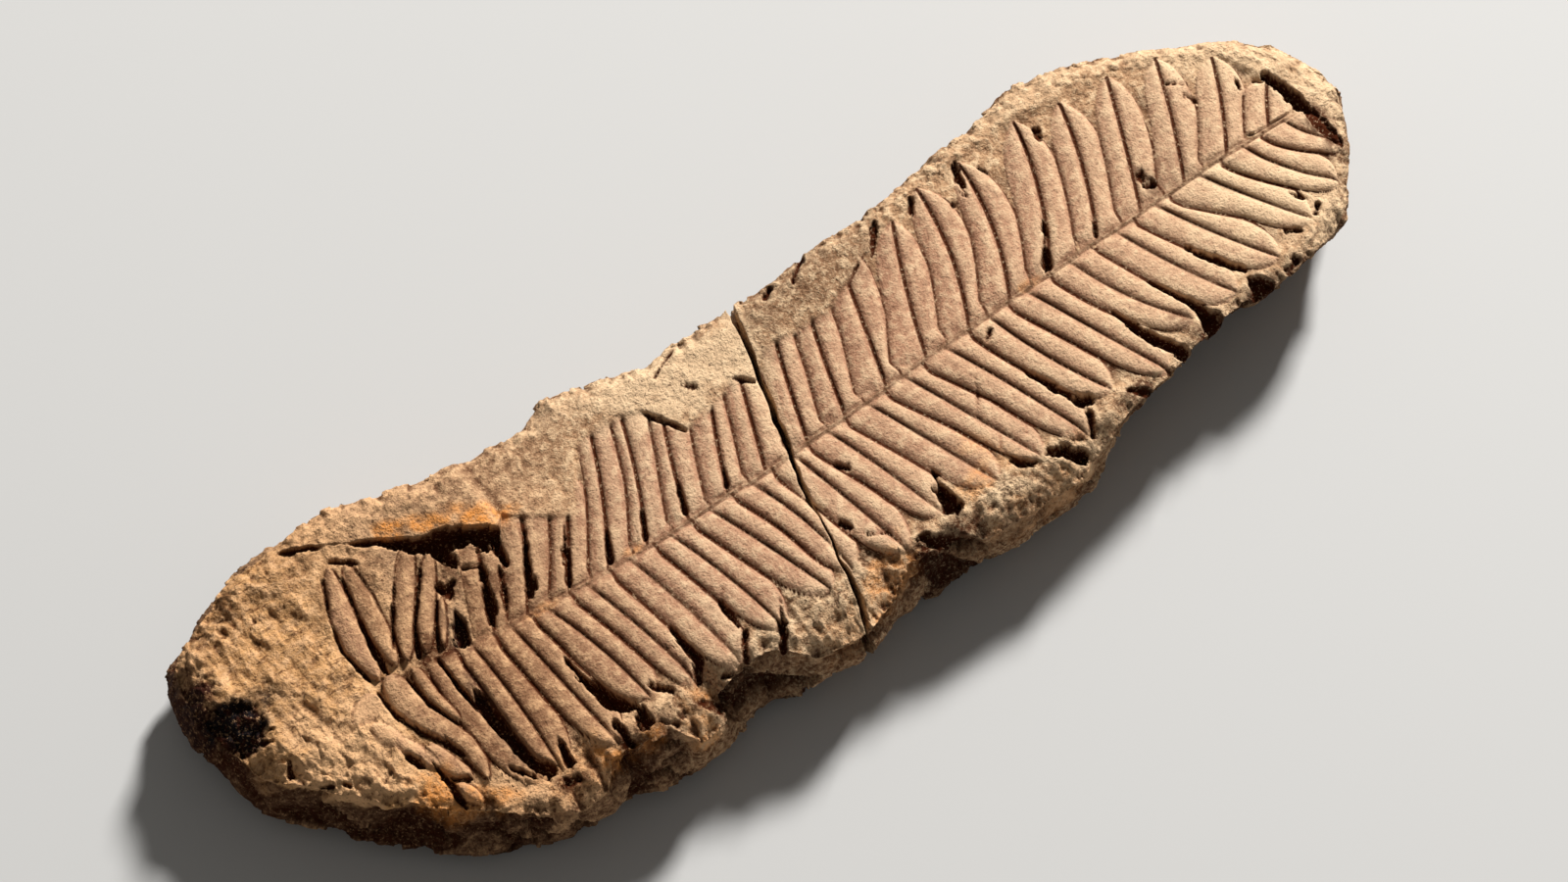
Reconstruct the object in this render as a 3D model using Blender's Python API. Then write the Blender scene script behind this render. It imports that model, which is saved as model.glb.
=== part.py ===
"""Fossil fern plate: a long sandstone slab, broken across into two blocks that still fit together, with a
fern-like frond standing in low relief on its top face.

Run it with blender --background --python part.py, or from Blender's text editor. The plan and heights below are
in millimetres, and MM turns them into Blender's metres. +X runs along the frond to its tip, +Z is up, and the
origin is under the middle of the slab, on the surface that it lies on.
"""

import bmesh
import bpy
import numpy as np

MM = 0.001

# ---- the slab ------------------------------------------------------------------------------------------------

# Height of the frond's plane above the floor, along the slab: (x, height).
FROND_PLANE = ((-152, 24.5), (-128, 26.0), (-95, 27.5), (-20, 28.0), (60, 27.5), (120, 26.0), (152, 24.0))

# Ribs across the slab, from its butt end to the crack: (lower outline, stalk line, upper outline). They lean as
# the leaflets do, and the first closes the end of the slab.
BUTT_RIBS = (
    ((-150.5, 18), (-150.5, 18), (-150.5, 18)),
    ((-148.5, 9), (-146, 16.8), (-150.8, 27.5)),
    ((-145, -1.5), (-141, 13.8), (-147, 37)),
    ((-137, -11), (-133, 10.8), (-136.5, 43)),
    ((-127, -23), (-122, 6.8), (-125, 47.8)),
    ((-115, -33), (-112, 4.3), (-113, 49.2)),
    ((-102, -41.5), (-104, 2.8), (-99.7, 49.8)),
    ((-89, -46.5), (-93, 0.8), (-84.5, 45)),
    ((-75, -47), (-81, -1.2), (-68, 40.3)),
    ((-61, -50), (-68, -2.5), (-54, 39.5)),
    ((-49, -47.7), (-55, -3.2), (-43, 42.3)),
    ((-38, -44.3), (-42, -3.5), (-31, 40)),
    ((-27, -47.6), (-28, -3.7), (-19, 37)),
    ((-19, -48.5), (-16, -3.7), (-7, 37.5)),
    ((-13.5, -48.5), (-5.5, -3.5), (4.3, 37.5)),
)

# The same from the tip end to the crack.
TIP_RIBS = (
    ((155, 2), (155, 2), (155, 2)),
    ((148.5, -10.5), (146, 1.8), (152.5, 12.5)),
    ((140.5, -19.5), (137, 1.4), (147, 21.5)),
    ((131.5, -27), (127, 1.4), (138, 29)),
    ((120, -30), (115, 1.4), (126, 35)),
    ((109, -31), (103, 1.1), (114, 40.3)),
    ((97, -30.5), (91, 0.7), (101.7, 44)),
    ((85, -33.7), (79, 0.2), (89, 46.8)),
    ((73, -35.7), (67, -0.2), (78, 44.3)),
    ((60.5, -39.3), (55, -0.6), (67, 42.4)),
    ((49, -45.2), (44, -1), (55, 40.2)),
    ((36, -46.4), (33, -1.5), (43, 39)),
    ((23, -46.2), (23, -2.3), (32, 39.2)),
    ((10, -45.2), (13, -2.9), (21, 38.3)),
    ((-2, -44.5), (4, -3.3), (12, 36.5)),
    ((-13.5, -48.5), (-5.5, -3.5), (4.3, 37.5)),
)

# The sides, along the slab: how far the top edge and the foot stand in from the widest outline, the height of
# that outline, and how far and how deep the top edge is worn round: (x, top_in, foot_in, wide_z, round_r, drop).
LOWER_SIDE = (
    (-150, 9, 8, 9, 13, 4.0),
    (-130, 9, 7, 8, 12, 3.5),
    (-108, 5, 5, 7, 4, 1.2),
    (-90, 5, 5, 7, 3, 1.0),
    (-72, 8, 6, 7, 3, 1.4),
    (-55, 9, 6, 6, 3, 1.4),
    (-38, 6, 5, 7, 3, 1.0),
    (-20, 2.5, 5, 10, 2, 0.8),
    (10, 5, 5, 8, 3, 1.0),
    (35, 4, 5, 8, 3, 1.0),
    (60, 3, 6, 10, 3, 1.0),
    (85, 2, 8, 17, 2, 0.9),
    (120, 2, 9, 18, 3, 1.2),
    (152, 3.5, 8, 14, 6, 2.2),
)
UPPER_SIDE = (
    (-150, 9, 8, 9, 13, 4.0),
    (-120, 5, 7, 14, 9, 3.0),
    (-60, 3.5, 7, 17, 6, 2.4),
    (60, 3, 7, 17, 5, 2.0),
    (120, 3.5, 8, 16, 6, 2.2),
    (152, 3.5, 8, 14, 6, 2.2),
)

# The crack, from the lower side to the upper: (y, x, width of the gap).
CRACK = (
    (-50, -14.5, 1.6),
    (-40, -12, 1.5),
    (-34, -10.5, 1),
    (-27, -9.5, 0.5),
    (-20, -8.3, 0.4),
    (-16, -8.5, 0.9),
    (-12, -7.5, 1.1),
    (-6, -5.5, 1),
    (0, -3.8, 1.2),
    (6, -2.5, 1.3),
    (13, -0.8, 1.1),
    (20, 1, 1.1),
    (27, 2.4, 1.3),
    (39, 5.4, 1.9),
)

# ---- the frond -----------------------------------------------------------------------------------------------

# Each leaflet by the line between its two lobes: (x on the stalk, x of its tip, y of its tip).
UPPER_LEAFLETS = (
    (-105.5, -103, 32),
    (-99, -85.5, 21),
    (-90.5, -83.5, 12),
    (-81.5, -73.5, 16),
    (-73, -61.5, 20.5),
    (-62.5, -53.5, 14),
    (-53, -39.5, 25),
    (-43, -31.5, 24.5),
    (-32, -22, 23),
    (-21.5, -13.5, 15.5),
    (-11.5, -4, 18),
    (0, 8.5, 21),
    (10.5, 18, 21),
    (22, 29.5, 24),
    (33.5, 46.5, 33),
    (45.5, 56.5, 33),
    (57, 67, 34),
    (68.5, 82.5, 35),
    (82, 94, 33.5),
    (94.5, 107, 33),
    (107, 118.5, 30),
    (119, 130.5, 24.5),
    (131, 138, 13),
)
LOWER_LEAFLETS = (
    (-108.5, -104.5, -27),
    (-99, -94.5, -33),
    (-87, -85.5, -35.5),
    (-78, -74, -37),
    (-69.5, -63, -31),
    (-59, -51.5, -36),
    (-48, -40.5, -37.5),
    (-37.5, -29, -35),
    (-27, -16.5, -34),
    (-16, -10.5, -35),
    (-6, 3, -36),
    (5, 14.5, -34),
    (16, 28.5, -34),
    (26.5, 39.5, -35),
    (38, 52.5, -35.5),
    (50.5, 63.5, -31),
    (61, 77.5, -33.5),
    (73.5, 87.5, -28),
    (86.5, 101.5, -28),
    (98, 113.5, -25),
    (110.5, 126.5, -22),
    (123, 137, -17),
    (134, 142.5, -10.5),
)
RELIEF = 1.5  # from the crest of a leaflet down to the stone between two leaflets
STALK_X = (-109, 139)  # where the stalk starts and ends
STALK_HALF = 0.8
STALK_CHANNEL = 1.5

# The front edge of the stone that still covers the frond on its upper side: (x, y, height of the step).
COVER_EDGE = (
    (-116.5, 42, 0.3),
    (-108.5, 40.5, 1.4),
    (-100.5, 35.5, 1.8),
    (-90.5, 30, 2.2),
    (-84.5, 25.5, 3.2),
    (-77.5, 23, 3.4),
    (-69.5, 18.5, 3),
    (-66.5, 20.5, 1.6),
    (-54.5, 12.5, 1),
    (-51.5, 12.5, 0.9),
    (-43.5, 25.5, 0.7),
    (-31.5, 26, 0.7),
    (-26.5, 24, 0.9),
    (-20.5, 14.5, 1.1),
    (-14.5, 14.5, 1),
    (-6.5, 19, 1),
    (-0.5, 18, 0.9),
    (3.5, 21, 0.6),
    (21.5, 20.5, 0.6),
    (33.5, 26, 0.6),
    (40.5, 32, 0.5),
    (56.5, 35, 0.3),
    (88.5, 36, 0.2),
    (112.5, 33, 0.2),
    (130.5, 26, 0.3),
    (152.5, 13, 0.4),
)

# Hollows broken out of the top face: (x, y, half length, half width, turn in degrees, depth).
HOLLOWS = (
    (-139.5, 15.5, 6.5, 6, -20, 4),  # the dark socket at the butt end
    (-75.5, 19.5, 9, 3.6, -31, 4.6),  # under the edge of the cover
    (-87, 4.5, 4, 2.2, 55, 3.6),
    (-76.5, 7.5, 6.5, 1.5, 62, 2.4),
    (-92, -16.5, 5.5, 1.6, 86, 3.2),  # gaps between leaflets of the lower row
    (-70.5, -25, 5.5, 1.6, 78, 3),
    (-83.5, -33, 2.6, 1.6, 60, 3),
    (-49, -28, 4, 1.1, 80, 2.4),
    (-35.5, -35, 4, 0.8, 55, 2.6),
    (-27, -34, 3.6, 1, 55, 3),
    (-24.5, 19.5, 4.5, 1, -62, 1.8),
    (-15, 23.5, 2.6, 0.9, -48, 1.6),
    (18, -30, 4.2, 1.7, 78, 4.4),
    (46.5, -35, 3.6, 1.8, -40, 4.6),
    (55, -29, 3.4, 1.3, 50, 3.8),
    (79, -27, 4.2, 1.5, -62, 3.4),
    (91.5, -28.5, 3.4, 2.3, 50, 4.6),
    (105, -28, 3.4, 1.8, 15, 4),
    (127.5, -19.5, 2.2, 0.8, 50, 2.6),
    (98.5, 6, 2.2, 1.4, -32, 2.8),
    (139.5, 4.5, 6.5, 1.7, -74, 4.2),  # the crescent inside the rim of the tip end
    (141, -5.5, 4.5, 1.5, -84, 3.6),
)

# ---- resolution ----------------------------------------------------------------------------------------------

STATIONS = 300  # ribs that the blocks are shaped on, before Decimate takes the flat places out
CAP_RINGS = 5
TOP_STEPS = 84
WALL_STEPS = 12
BASE_STEPS = 8
TRIANGLES = 4800  # in each block
SEAM = 1e-6


def smooth(start, end, value):
    """0 before start, 1 after end, and an S curve between them."""
    t = np.clip((value - start) / (end - start), 0, 1)
    return t * t * (3 - 2 * t)


def along(table, x, column):
    """One column of a table read at x, straight between its rows."""
    rows = np.array(table, float)
    return np.interp(x, rows[:, 0], rows[:, column])


def spline(points, t):
    """A smooth curve through the points (Catmull-Rom), read at each t from 0 to 1."""
    points = np.asarray(points, float)
    last = len(points) - 1
    place = np.clip(t, 0, 1) * last
    i = np.minimum(place.astype(int), last - 1)
    f = (place - i).reshape((-1,) + (1,) * (points.ndim - 1))
    a, b, c, d = (points[np.clip(i + k, 0, last)] for k in (-1, 0, 1, 2))
    return b + 0.5 * f * (c - a + f * (2 * a - 5 * b + 4 * c - d + f * (3 * (b - c) + d - a)))


def lumps(x, y, z, size, seed):
    """Smooth random lumps about size across, from -1 to 1: random values on a lattice, blended between."""
    values = np.random.default_rng(seed).uniform(-1, 1, (16, 16, 16))
    cell = [np.asarray(c, float) / size for c in np.broadcast_arrays(x, y, z)]
    low = [np.floor(c).astype(int) for c in cell]
    part = [smooth(0, 1, c - f) for c, f in zip(cell, low)]
    total = 0.0
    for corner in range(8):
        bits = [(corner >> k) & 1 for k in range(3)]
        index = tuple((f + b) % 16 for f, b in zip(low, bits))
        weight = 1.0
        for p, b in zip(part, bits):
            weight = weight * (p if b else 1 - p)
        total = total + weight * values[index]
    return total


def stalk_y(x):
    """The stalk's line across the plan, read from the ribs."""
    points = np.array([rib[1] for rib in BUTT_RIBS[1:] + TIP_RIBS[-2:0:-1]], float)
    return np.interp(x, points[:, 0], points[:, 1])


def leaflet_relief(x, y, leaflets, deep_middle):
    """Height above the stone between the leaflets: two rounded lobes for each leaflet, which taper to its tip."""
    height = np.zeros_like(x)
    bases = np.array([leaflet[0] for leaflet in leaflets], float)
    spacing = np.gradient(bases)
    for (base_x, tip_x, tip_y), pitch in zip(leaflets, spacing):
        base_y = float(stalk_y(base_x))
        run = np.array([tip_x - base_x, tip_y - base_y])
        length = np.hypot(*run)
        forward = run / length
        side = np.array([forward[1], -forward[0]]) * np.sign(tip_y - base_y)
        s = ((x - base_x) * forward[0] + (y - base_y) * forward[1]) / length
        bow = 1.1 * np.sin(np.pi * np.clip(s, 0, 1))
        half = 0.5 * pitch * abs(forward[1]) * np.clip((1.02 - s) / 0.35, 1e-3, 1) ** 0.6
        c = ((x - base_x) * side[0] + (y - base_y) * side[1] + bow) / half
        lobe = np.clip(1 - np.abs(2 * np.abs(c) - 1) ** 2.4, 0, 1) ** 0.6
        middle = (1 - deep_middle * smooth(0.0, 0.12, s)) * np.clip(1 - np.abs(c) ** 4, 0, 1)
        profile = np.maximum(lobe, 0.75 * middle) * np.where(c > 0, 1.0, 0.86)
        inside = (s > -0.12) & (s < 1.02) & (np.abs(c) < 1) & ((y - stalk_y(x)) * np.sign(tip_y) > -0.2)
        end = smooth(1.02, 0.86, s) * 0.7 + 0.3
        height = np.where(inside, np.maximum(height, RELIEF * profile * end), height)
    return height


def tip_line(leaflets, x):
    """y of the line through the leaflets' tips."""
    tips = np.array([leaflet[1:] for leaflet in leaflets], float)
    return np.interp(x, tips[:, 0], tips[:, 1])


def hollow(x, y, spec):
    """Depth of one broken-out hollow: a rounded box with steep sides."""
    cx, cy, half_long, half_wide, turn, depth = spec
    cos, sin = np.cos(np.radians(turn)), np.sin(np.radians(turn))
    u = ((x - cx) * cos + (y - cy) * sin) / half_long
    v = (-(x - cx) * sin + (y - cy) * cos) / half_wide
    return depth * smooth(1.25, 0.7, (np.abs(u) ** 3 + np.abs(v) ** 3) ** (1 / 3))


def top_height(x, y, edge):
    """The top face over the plan. edge is the distance in from its rim."""
    upper = y > stalk_y(x)
    leaves = np.where(
        upper,
        leaflet_relief(x, y, UPPER_LEAFLETS, 0.85),
        leaflet_relief(x, y, LOWER_LEAFLETS, 0.8),
    )
    past_tips = np.where(upper, y - tip_line(UPPER_LEAFLETS, x), tip_line(LOWER_LEAFLETS, x) - y)
    stone = RELIEF * smooth(-5, 1.5, past_tips)
    stone = np.maximum(stone, RELIEF * smooth(-109, -114, x + 0.12 * np.abs(y)))
    relief = np.maximum(leaves, stone) - RELIEF
    covered = smooth(-0.4, 0.5, y - along(COVER_EDGE, x, 1) - 0.8 * lumps(x, y, 0, 4, 3)) * upper
    relief = relief * (1 - covered) + covered * along(COVER_EDGE, x, 2)
    from_stalk = np.abs(y - stalk_y(x))
    has_stalk = smooth(STALK_X[0] - 2, STALK_X[0] + 4, x) * smooth(STALK_X[1] + 2, STALK_X[1] - 6, x)
    channel = smooth(STALK_CHANNEL, STALK_HALF, from_stalk)
    bead = 0.6 * np.clip(1 - (from_stalk / STALK_HALF) ** 2, 0, 1)
    relief = relief - has_stalk * channel * (relief + 0.9 - bead)
    for spec in HOLLOWS:
        relief = relief - hollow(x, y, spec)
    rough = smooth(-100, -122, x)
    relief = relief + rough * (1.3 * lumps(x, y, 0, 9, 5) + 0.7 * lumps(x, y, 0, 4, 6))
    relief = relief + 0.5 * lumps(x, y, 0, 24, 7)
    side = [np.where(upper, along(UPPER_SIDE, x, k), along(LOWER_SIDE, x, k)) for k in (4, 5)]
    worn = side[1] * (1 - np.clip(edge / side[0], 0, 1)) ** 2
    from_crack = np.abs(x - along(CRACK, y, 1))
    return along(FROND_PLANE, x, 1) + relief - worn - 0.6 * np.exp(-from_crack / 0.8)


def distance_to(outline, x, y):
    """Distance in the plan from each point to the outline's nearest point."""
    best = np.full(np.shape(x), np.inf)
    for px, py in outline:
        best = np.minimum(best, (x - px) ** 2 + (y - py) ** 2)
    return np.sqrt(best)


def ring_of_steps():
    """Once round a block's section: the stretch that each step is on, and how far along that stretch it is."""
    counts = (("top", TOP_STEPS), ("upper", WALL_STEPS), ("base", BASE_STEPS), ("lower", WALL_STEPS))
    names = [name for name, steps in counts for _ in range(steps)] + ["lower"]
    parts = [k / steps for _, steps in counts for k in range(steps)] + [1.0]
    return np.array(names), np.array(parts)


def block_points(ribs, to_crack):
    """The block's surface as a grid of points: along it from its end to the crack, and round its section.
    to_crack is the way along X from the block to the crack, 1 or -1. The last rings close the broken face."""
    t = np.linspace(0, 1, STATIONS + 1)
    lower, stalk, upper = (spline([rib[k] for rib in ribs], t) for k in range(3))
    outline = np.concatenate([lower[::-1], upper[1:]])
    run = np.gradient(outline, axis=0)
    inward = np.stack([-run[:, 1], run[:, 0]], 1) / np.linalg.norm(run, axis=1)[:, None] * to_crack * -1
    inward_lower, inward_upper = inward[STATIONS::-1], inward[STATIONS:]
    near_end = np.clip(1 - t / 0.12, 0, 1)[:, None] ** 2

    def inset(points, inward_way, distance):
        return points + inward_way * distance[:, None]

    def at(side_table, points, column):
        return along(side_table, points[:, 0], column)

    rims = {}
    for layer, column in (("top", 1), ("foot", 2)):
        low = inset(lower, inward_lower, at(LOWER_SIDE, lower, column))
        high = inset(upper, inward_upper, at(UPPER_SIDE, upper, column))
        rims[layer] = (low, stalk + (low[0] - stalk[0]) * near_end, high)

    names, parts = ring_of_steps()
    points = np.zeros((STATIONS + 1, len(names), 3))

    def across(layer, w):
        low, middle, high = (rim[:, None, :] for rim in rims[layer])
        w = w[None, :, None]
        return np.where(w < 0.5, low + (middle - low) * 2 * w, middle + (high - middle) * (2 * w - 1))

    on_top, on_base = names == "top", names == "base"
    points[:, on_top, :2] = across("top", parts[on_top])
    points[:, on_base, :2] = across("foot", 1 - parts[on_base])

    rim_line = np.concatenate([rims["top"][0], rims["top"][2]])
    x, y = points[:, on_top, 0], points[:, on_top, 1]
    points[:, on_top, 2] = top_height(x, y, distance_to(rim_line, x, y))

    sides = (("upper", upper, inward_upper, UPPER_SIDE, 2), ("lower", lower, inward_lower, LOWER_SIDE, 0))
    for name, bulge, inward_way, table, rim in sides:
        rim_xy = rims["top"][rim]
        rim_z = top_height(rim_xy[:, 0], rim_xy[:, 1], np.zeros(len(rim_xy)))
        here = names == name
        down = parts[here] if name == "upper" else 1 - parts[here]
        z = rim_z[:, None] * (1 - down[None, :])
        top_in, foot_in, wide_z = (at(table, bulge, k)[:, None] for k in (1, 2, 3))
        above = np.clip((z - wide_z) / (rim_z[:, None] - wide_z), 0, 1)
        below = np.clip((wide_z - z) / wide_z, 0, 1)
        stand_in = top_in * above**1.6 + foot_in * below**2
        xy = bulge[:, None, :] + inward_way[:, None, :] * stand_in[:, :, None]
        chips = 1.5 * lumps(xy[..., 0], xy[..., 1], z, 11, 11) + 0.9 * lumps(xy[..., 0], xy[..., 1], z, 5, 12)
        chips = (chips + 0.6) * smooth(0, 0.15, down) * smooth(1, 0.9, down)
        points[:, here, :2] = xy + inward_way[:, None, :] * chips[:, :, None]
        points[:, here, 2] = z

    # The last rib is bent on to the crack, and the ribs before it follow less and less.
    pull = (np.clip((t - 0.88) / 0.12, 0, 1) ** 2)[:, None]
    last = points[-1, :, :2]
    order = np.argsort(last[:, 1])
    straight = np.interp(points[..., 1], last[order, 1], last[order, 0])
    shift = along(CRACK, points[..., 1], 1) - to_crack * along(CRACK, points[..., 1], 2) / 2 - straight
    points[..., 0] += pull * shift

    face = points[-1]
    centre = np.array([0, (face[:, 1].min() + face[:, 1].max()) / 2, face[:, 2].max() / 2])
    rings = []
    for ring in range(1, CAP_RINGS + 1):
        shrunk = centre + (face - centre) * (1 - ring / CAP_RINGS)
        shrunk[:, 0] = along(CRACK, shrunk[:, 1], 1) - to_crack * along(CRACK, shrunk[:, 1], 2) / 2
        rings.append(shrunk)
    return np.concatenate([points, np.array(rings)])


def stone_material(name, colour):
    material = bpy.data.materials.new(name)
    material.use_nodes = True
    shader = material.node_tree.nodes["Principled BSDF"]
    shader.inputs["Base Color"].default_value = (*colour, 1)
    shader.inputs["Roughness"].default_value = 0.85
    shader.inputs["Metallic"].default_value = 0.0
    return material


def make_block(name, ribs, to_crack, material, collection):
    """A block starts as a flat grid, which is wrapped into the block's shape and closed along its seams."""
    points = block_points(ribs, to_crack) * MM
    rows, columns = points.shape[:2]
    bm = bmesh.new()
    bmesh.ops.create_grid(bm, x_segments=rows - 1, y_segments=columns - 1, size=1)
    for vertex in bm.verts:
        row = round((vertex.co.x + 1) / 2 * (rows - 1))
        column = round((vertex.co.y + 1) / 2 * (columns - 1))
        vertex.co = points[row, column]
    bmesh.ops.remove_doubles(bm, verts=bm.verts, dist=SEAM)
    bmesh.ops.recalc_face_normals(bm, faces=bm.faces)
    fine = bpy.data.meshes.new(name + "_fine")
    bm.to_mesh(fine)
    bm.free()

    block = bpy.data.objects.new(name, fine)
    collection.objects.link(block)
    decimate = block.modifiers.new("Decimate", "DECIMATE")
    decimate.ratio = TRIANGLES / sum(len(polygon.vertices) - 2 for polygon in fine.polygons)
    graph = bpy.context.evaluated_depsgraph_get()
    block.data = bpy.data.meshes.new_from_object(block.evaluated_get(graph))
    block.modifiers.clear()
    bpy.data.meshes.remove(fine)
    for vertex in block.data.vertices:
        if vertex.co.z < 0.4 * MM:
            vertex.co.z = 0.0
    block.data.name = name
    block.data.materials.append(material)
    return block


def centre(blocks):
    """Move the blocks together, so that the origin is under the middle of the slab's box."""
    corners = np.array([v.co for block in blocks for v in block.data.vertices])
    middle = (corners.min(axis=0) + corners.max(axis=0)) / 2
    for block in blocks:
        for vertex in block.data.vertices:
            vertex.co.x -= middle[0]
            vertex.co.y -= middle[1]


def main():
    for old in list(bpy.data.objects):
        bpy.data.objects.remove(old)
    collection = bpy.data.collections.new("fossil_fern_plate")
    bpy.context.scene.collection.children.link(collection)
    butt_stone = stone_material("butt_sandstone", (0.42, 0.26, 0.14))
    tip_stone = stone_material("tip_sandstone", (0.45, 0.28, 0.16))
    butt = make_block("butt_block", BUTT_RIBS, 1, butt_stone, collection)
    tip = make_block("tip_block", TIP_RIBS, -1, tip_stone, collection)
    centre([butt, tip])


main()
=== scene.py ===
"""Looks of the fossil fern plate: two blocks of sandstone that fit together along a crack, with a frond in
low relief on their top face.

Sizes below are in millimetres in the frame's own axes: +X runs along the frond to its tip, +Z is up, and the
origin is under the middle of the slab. MM turns them into Blender's metres.
"""

import bmesh
import bpy
import numpy as np
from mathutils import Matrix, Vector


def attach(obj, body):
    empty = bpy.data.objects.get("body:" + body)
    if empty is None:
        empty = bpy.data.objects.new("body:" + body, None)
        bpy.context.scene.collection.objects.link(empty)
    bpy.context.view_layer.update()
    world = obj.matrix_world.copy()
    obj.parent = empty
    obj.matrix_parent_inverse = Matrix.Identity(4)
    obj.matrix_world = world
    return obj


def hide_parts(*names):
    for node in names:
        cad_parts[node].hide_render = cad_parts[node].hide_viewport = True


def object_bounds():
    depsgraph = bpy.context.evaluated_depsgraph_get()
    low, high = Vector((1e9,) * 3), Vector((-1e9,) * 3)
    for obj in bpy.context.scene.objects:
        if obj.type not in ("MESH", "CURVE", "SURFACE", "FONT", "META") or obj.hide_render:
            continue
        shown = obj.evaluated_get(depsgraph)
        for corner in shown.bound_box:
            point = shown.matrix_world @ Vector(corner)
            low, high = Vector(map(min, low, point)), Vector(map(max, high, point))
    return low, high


MM = 0.001

# ---- the slab ------------------------------------------------------------------------------------

# Height of the frond's plane along the slab: (x, height).
FROND_PLANE = ((-154, 24.5), (-130, 26.0), (-97, 27.5), (-22, 28.0), (58, 27.5), (118, 26.0), (150, 24.0))

# Ribs across the slab, from its butt end to the crack: (lower outline, stalk line, upper outline). They
# lean as the leaflets do, and the first closes the end of the slab.
BUTT_RIBS = (
    ((-152.5, 18), (-152.5, 18), (-152.5, 18)),
    ((-150.5, 9), (-148.5, 16.8), (-152.7, 27.5)),
    ((-147.3, -1.5), (-143.5, 13.8), (-149, 37)),
    ((-139.3, -11), (-135.5, 10.8), (-138.8, 43)),
    ((-129.3, -23), (-124.5, 6.8), (-127.3, 47.8)),
    ((-117.3, -33), (-114.5, 4.3), (-115.3, 48.8)),
    ((-104.3, -41.5), (-106.5, 2.8), (-102, 49)),
    ((-91.3, -46.5), (-95.5, 0.8), (-86.8, 45)),
    ((-77.3, -47), (-83.5, -1.2), (-70.3, 40.3)),
    ((-63.3, -49), (-70.5, -2.5), (-56.3, 39.5)),
    ((-51.3, -47.7), (-57.5, -3.2), (-45.3, 42.3)),
    ((-40.3, -44.3), (-44.5, -3.5), (-33.3, 40)),
    ((-29.3, -47.6), (-30.5, -3.7), (-21.3, 37)),
    ((-21.3, -48.5), (-18.5, -3.7), (-9.3, 37.5)),
    ((-15.8, -48.5), (-8, -3.5), (2, 37.5)),
)

# The same from the tip end to the crack.
TIP_RIBS = (
    ((152.5, 2), (152.5, 2), (152.5, 2)),
    ((146.2, -10.5), (143.5, 1.8), (150.2, 12.5)),
    ((138.2, -19.5), (134.5, 1.4), (144.7, 21.5)),
    ((129.2, -27), (124.5, 1.4), (135.7, 29)),
    ((117.7, -30), (112.5, 1.4), (123.7, 35)),
    ((106.7, -31), (100.5, 1.1), (111.7, 40.3)),
    ((94.7, -30.5), (88.5, 0.7), (99.4, 44)),
    ((82.7, -33.7), (76.5, 0.2), (86.7, 46.8)),
    ((70.7, -35.7), (64.5, -0.2), (75.7, 44.3)),
    ((58.2, -39.3), (52.5, -0.6), (64.7, 42.4)),
    ((46.7, -45.2), (41.5, -1), (52.7, 40.2)),
    ((33.7, -46.4), (30.5, -1.5), (40.7, 39)),
    ((20.7, -46.2), (20.5, -2.3), (29.7, 39.2)),
    ((7.7, -45.2), (10.5, -2.9), (18.7, 38.3)),
    ((-4.3, -44.5), (1.5, -3.3), (9.7, 36.5)),
    ((-15.8, -48.5), (-8, -3.5), (2, 37.5)),
)

# The sides, along the slab: how far the top edge and the foot stand in from the widest outline, the height
# of that outline, how far and how deep the top edge is worn round, and how rugged the side is:
# (x, top_in, foot_in, wide_z, round_r, drop, rugged).
LOWER_SIDE = (
    (-152, 5, 8, 9, 8, 3.0, 0.4),
    (-132, 6, 7, 8, 7, 2.6, 0.5),
    (-110, 5, 5, 7, 4, 1.2, 0.8),
    (-94, 2.5, 5, 7, 3, 1.2, 0.8),
    (-90, 2.5, 6, 10, 11, 6.0, 0.35),
    (-83, 3, 6, 10, 11, 6.0, 0.35),
    (-79, 7, 6, 7, 4, 1.6, 1.0),
    (-64, 8, 6, 7, 4, 1.6, 1.0),
    (-60, 3, 6, 9, 10, 7.0, 0.45),
    (-52, 3, 6, 9, 10, 7.0, 0.45),
    (-48, 8, 6, 6, 3, 1.4, 1.0),
    (-40, 6, 5, 7, 3, 1.0, 1.0),
    (-34, 4, 5, 7, 4, 1.4, 1.0),
    (-28, 2.5, 6, 15, 13, 4.5, 0.45),
    (-6, 2.5, 6, 15, 12, 4.5, 0.45),
    (-1, 5, 5, 8, 4, 2.0, 1.0),
    (13, 5, 5, 8, 4, 2.0, 1.0),
    (18, 3, 6, 16, 10, 5.0, 0.5),
    (48, 3, 6, 16, 9, 4.5, 0.5),
    (58, 0.5, 7, 18, 4, 1.5, 0.7),
    (83, 0, 8, 22, 2, 0.9, 0.6),
    (118, 0, 9, 22, 3, 1.2, 0.5),
    (149, 3.5, 8, 14, 6, 2.2, 0.3),
)
UPPER_SIDE = (
    (-152, 5, 8, 9, 8, 3.0, 0.4),
    (-122, 5, 7, 14, 9, 3.0, 0.6),
    (-62, 3.5, 7, 17, 6, 2.4, 0.8),
    (58, 3, 7, 17, 5, 2.0, 0.8),
    (118, 3.5, 8, 16, 6, 2.2, 0.5),
    (149, 3.5, 8, 14, 6, 2.2, 0.3),
)

# The crack, from the lower side to the upper: (y, x, width of the gap).
CRACK = (
    (-50, -16.8, 1.6), (-40, -14.3, 1.5), (-34, -12.8, 1.0), (-27, -11.8, 0.5), (-20, -10.6, 0.4),
    (-16, -10.8, 0.9), (-12, -9.8, 1.1), (-6, -7.8, 1.0), (0, -6.1, 1.3), (6, -4.8, 1.4),
    (13, -3.1, 1.2), (20, -1.3, 1.2), (27, 0.1, 1.4), (39, 3.1, 1.9),
)
CRACK_GAPE = 1.25  # the gap's widths are all taken so many times
CRACK_EDGE = 0.3  # how deep the crack's top edges are worn, and over what distance
CRACK_WEAR = 0.6
CRACK_LEAN = 0.03  # how far the crack moves along X for each millimetre of height
CRACK_HEIGHT = 26  # at which the crack's line is given

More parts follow.
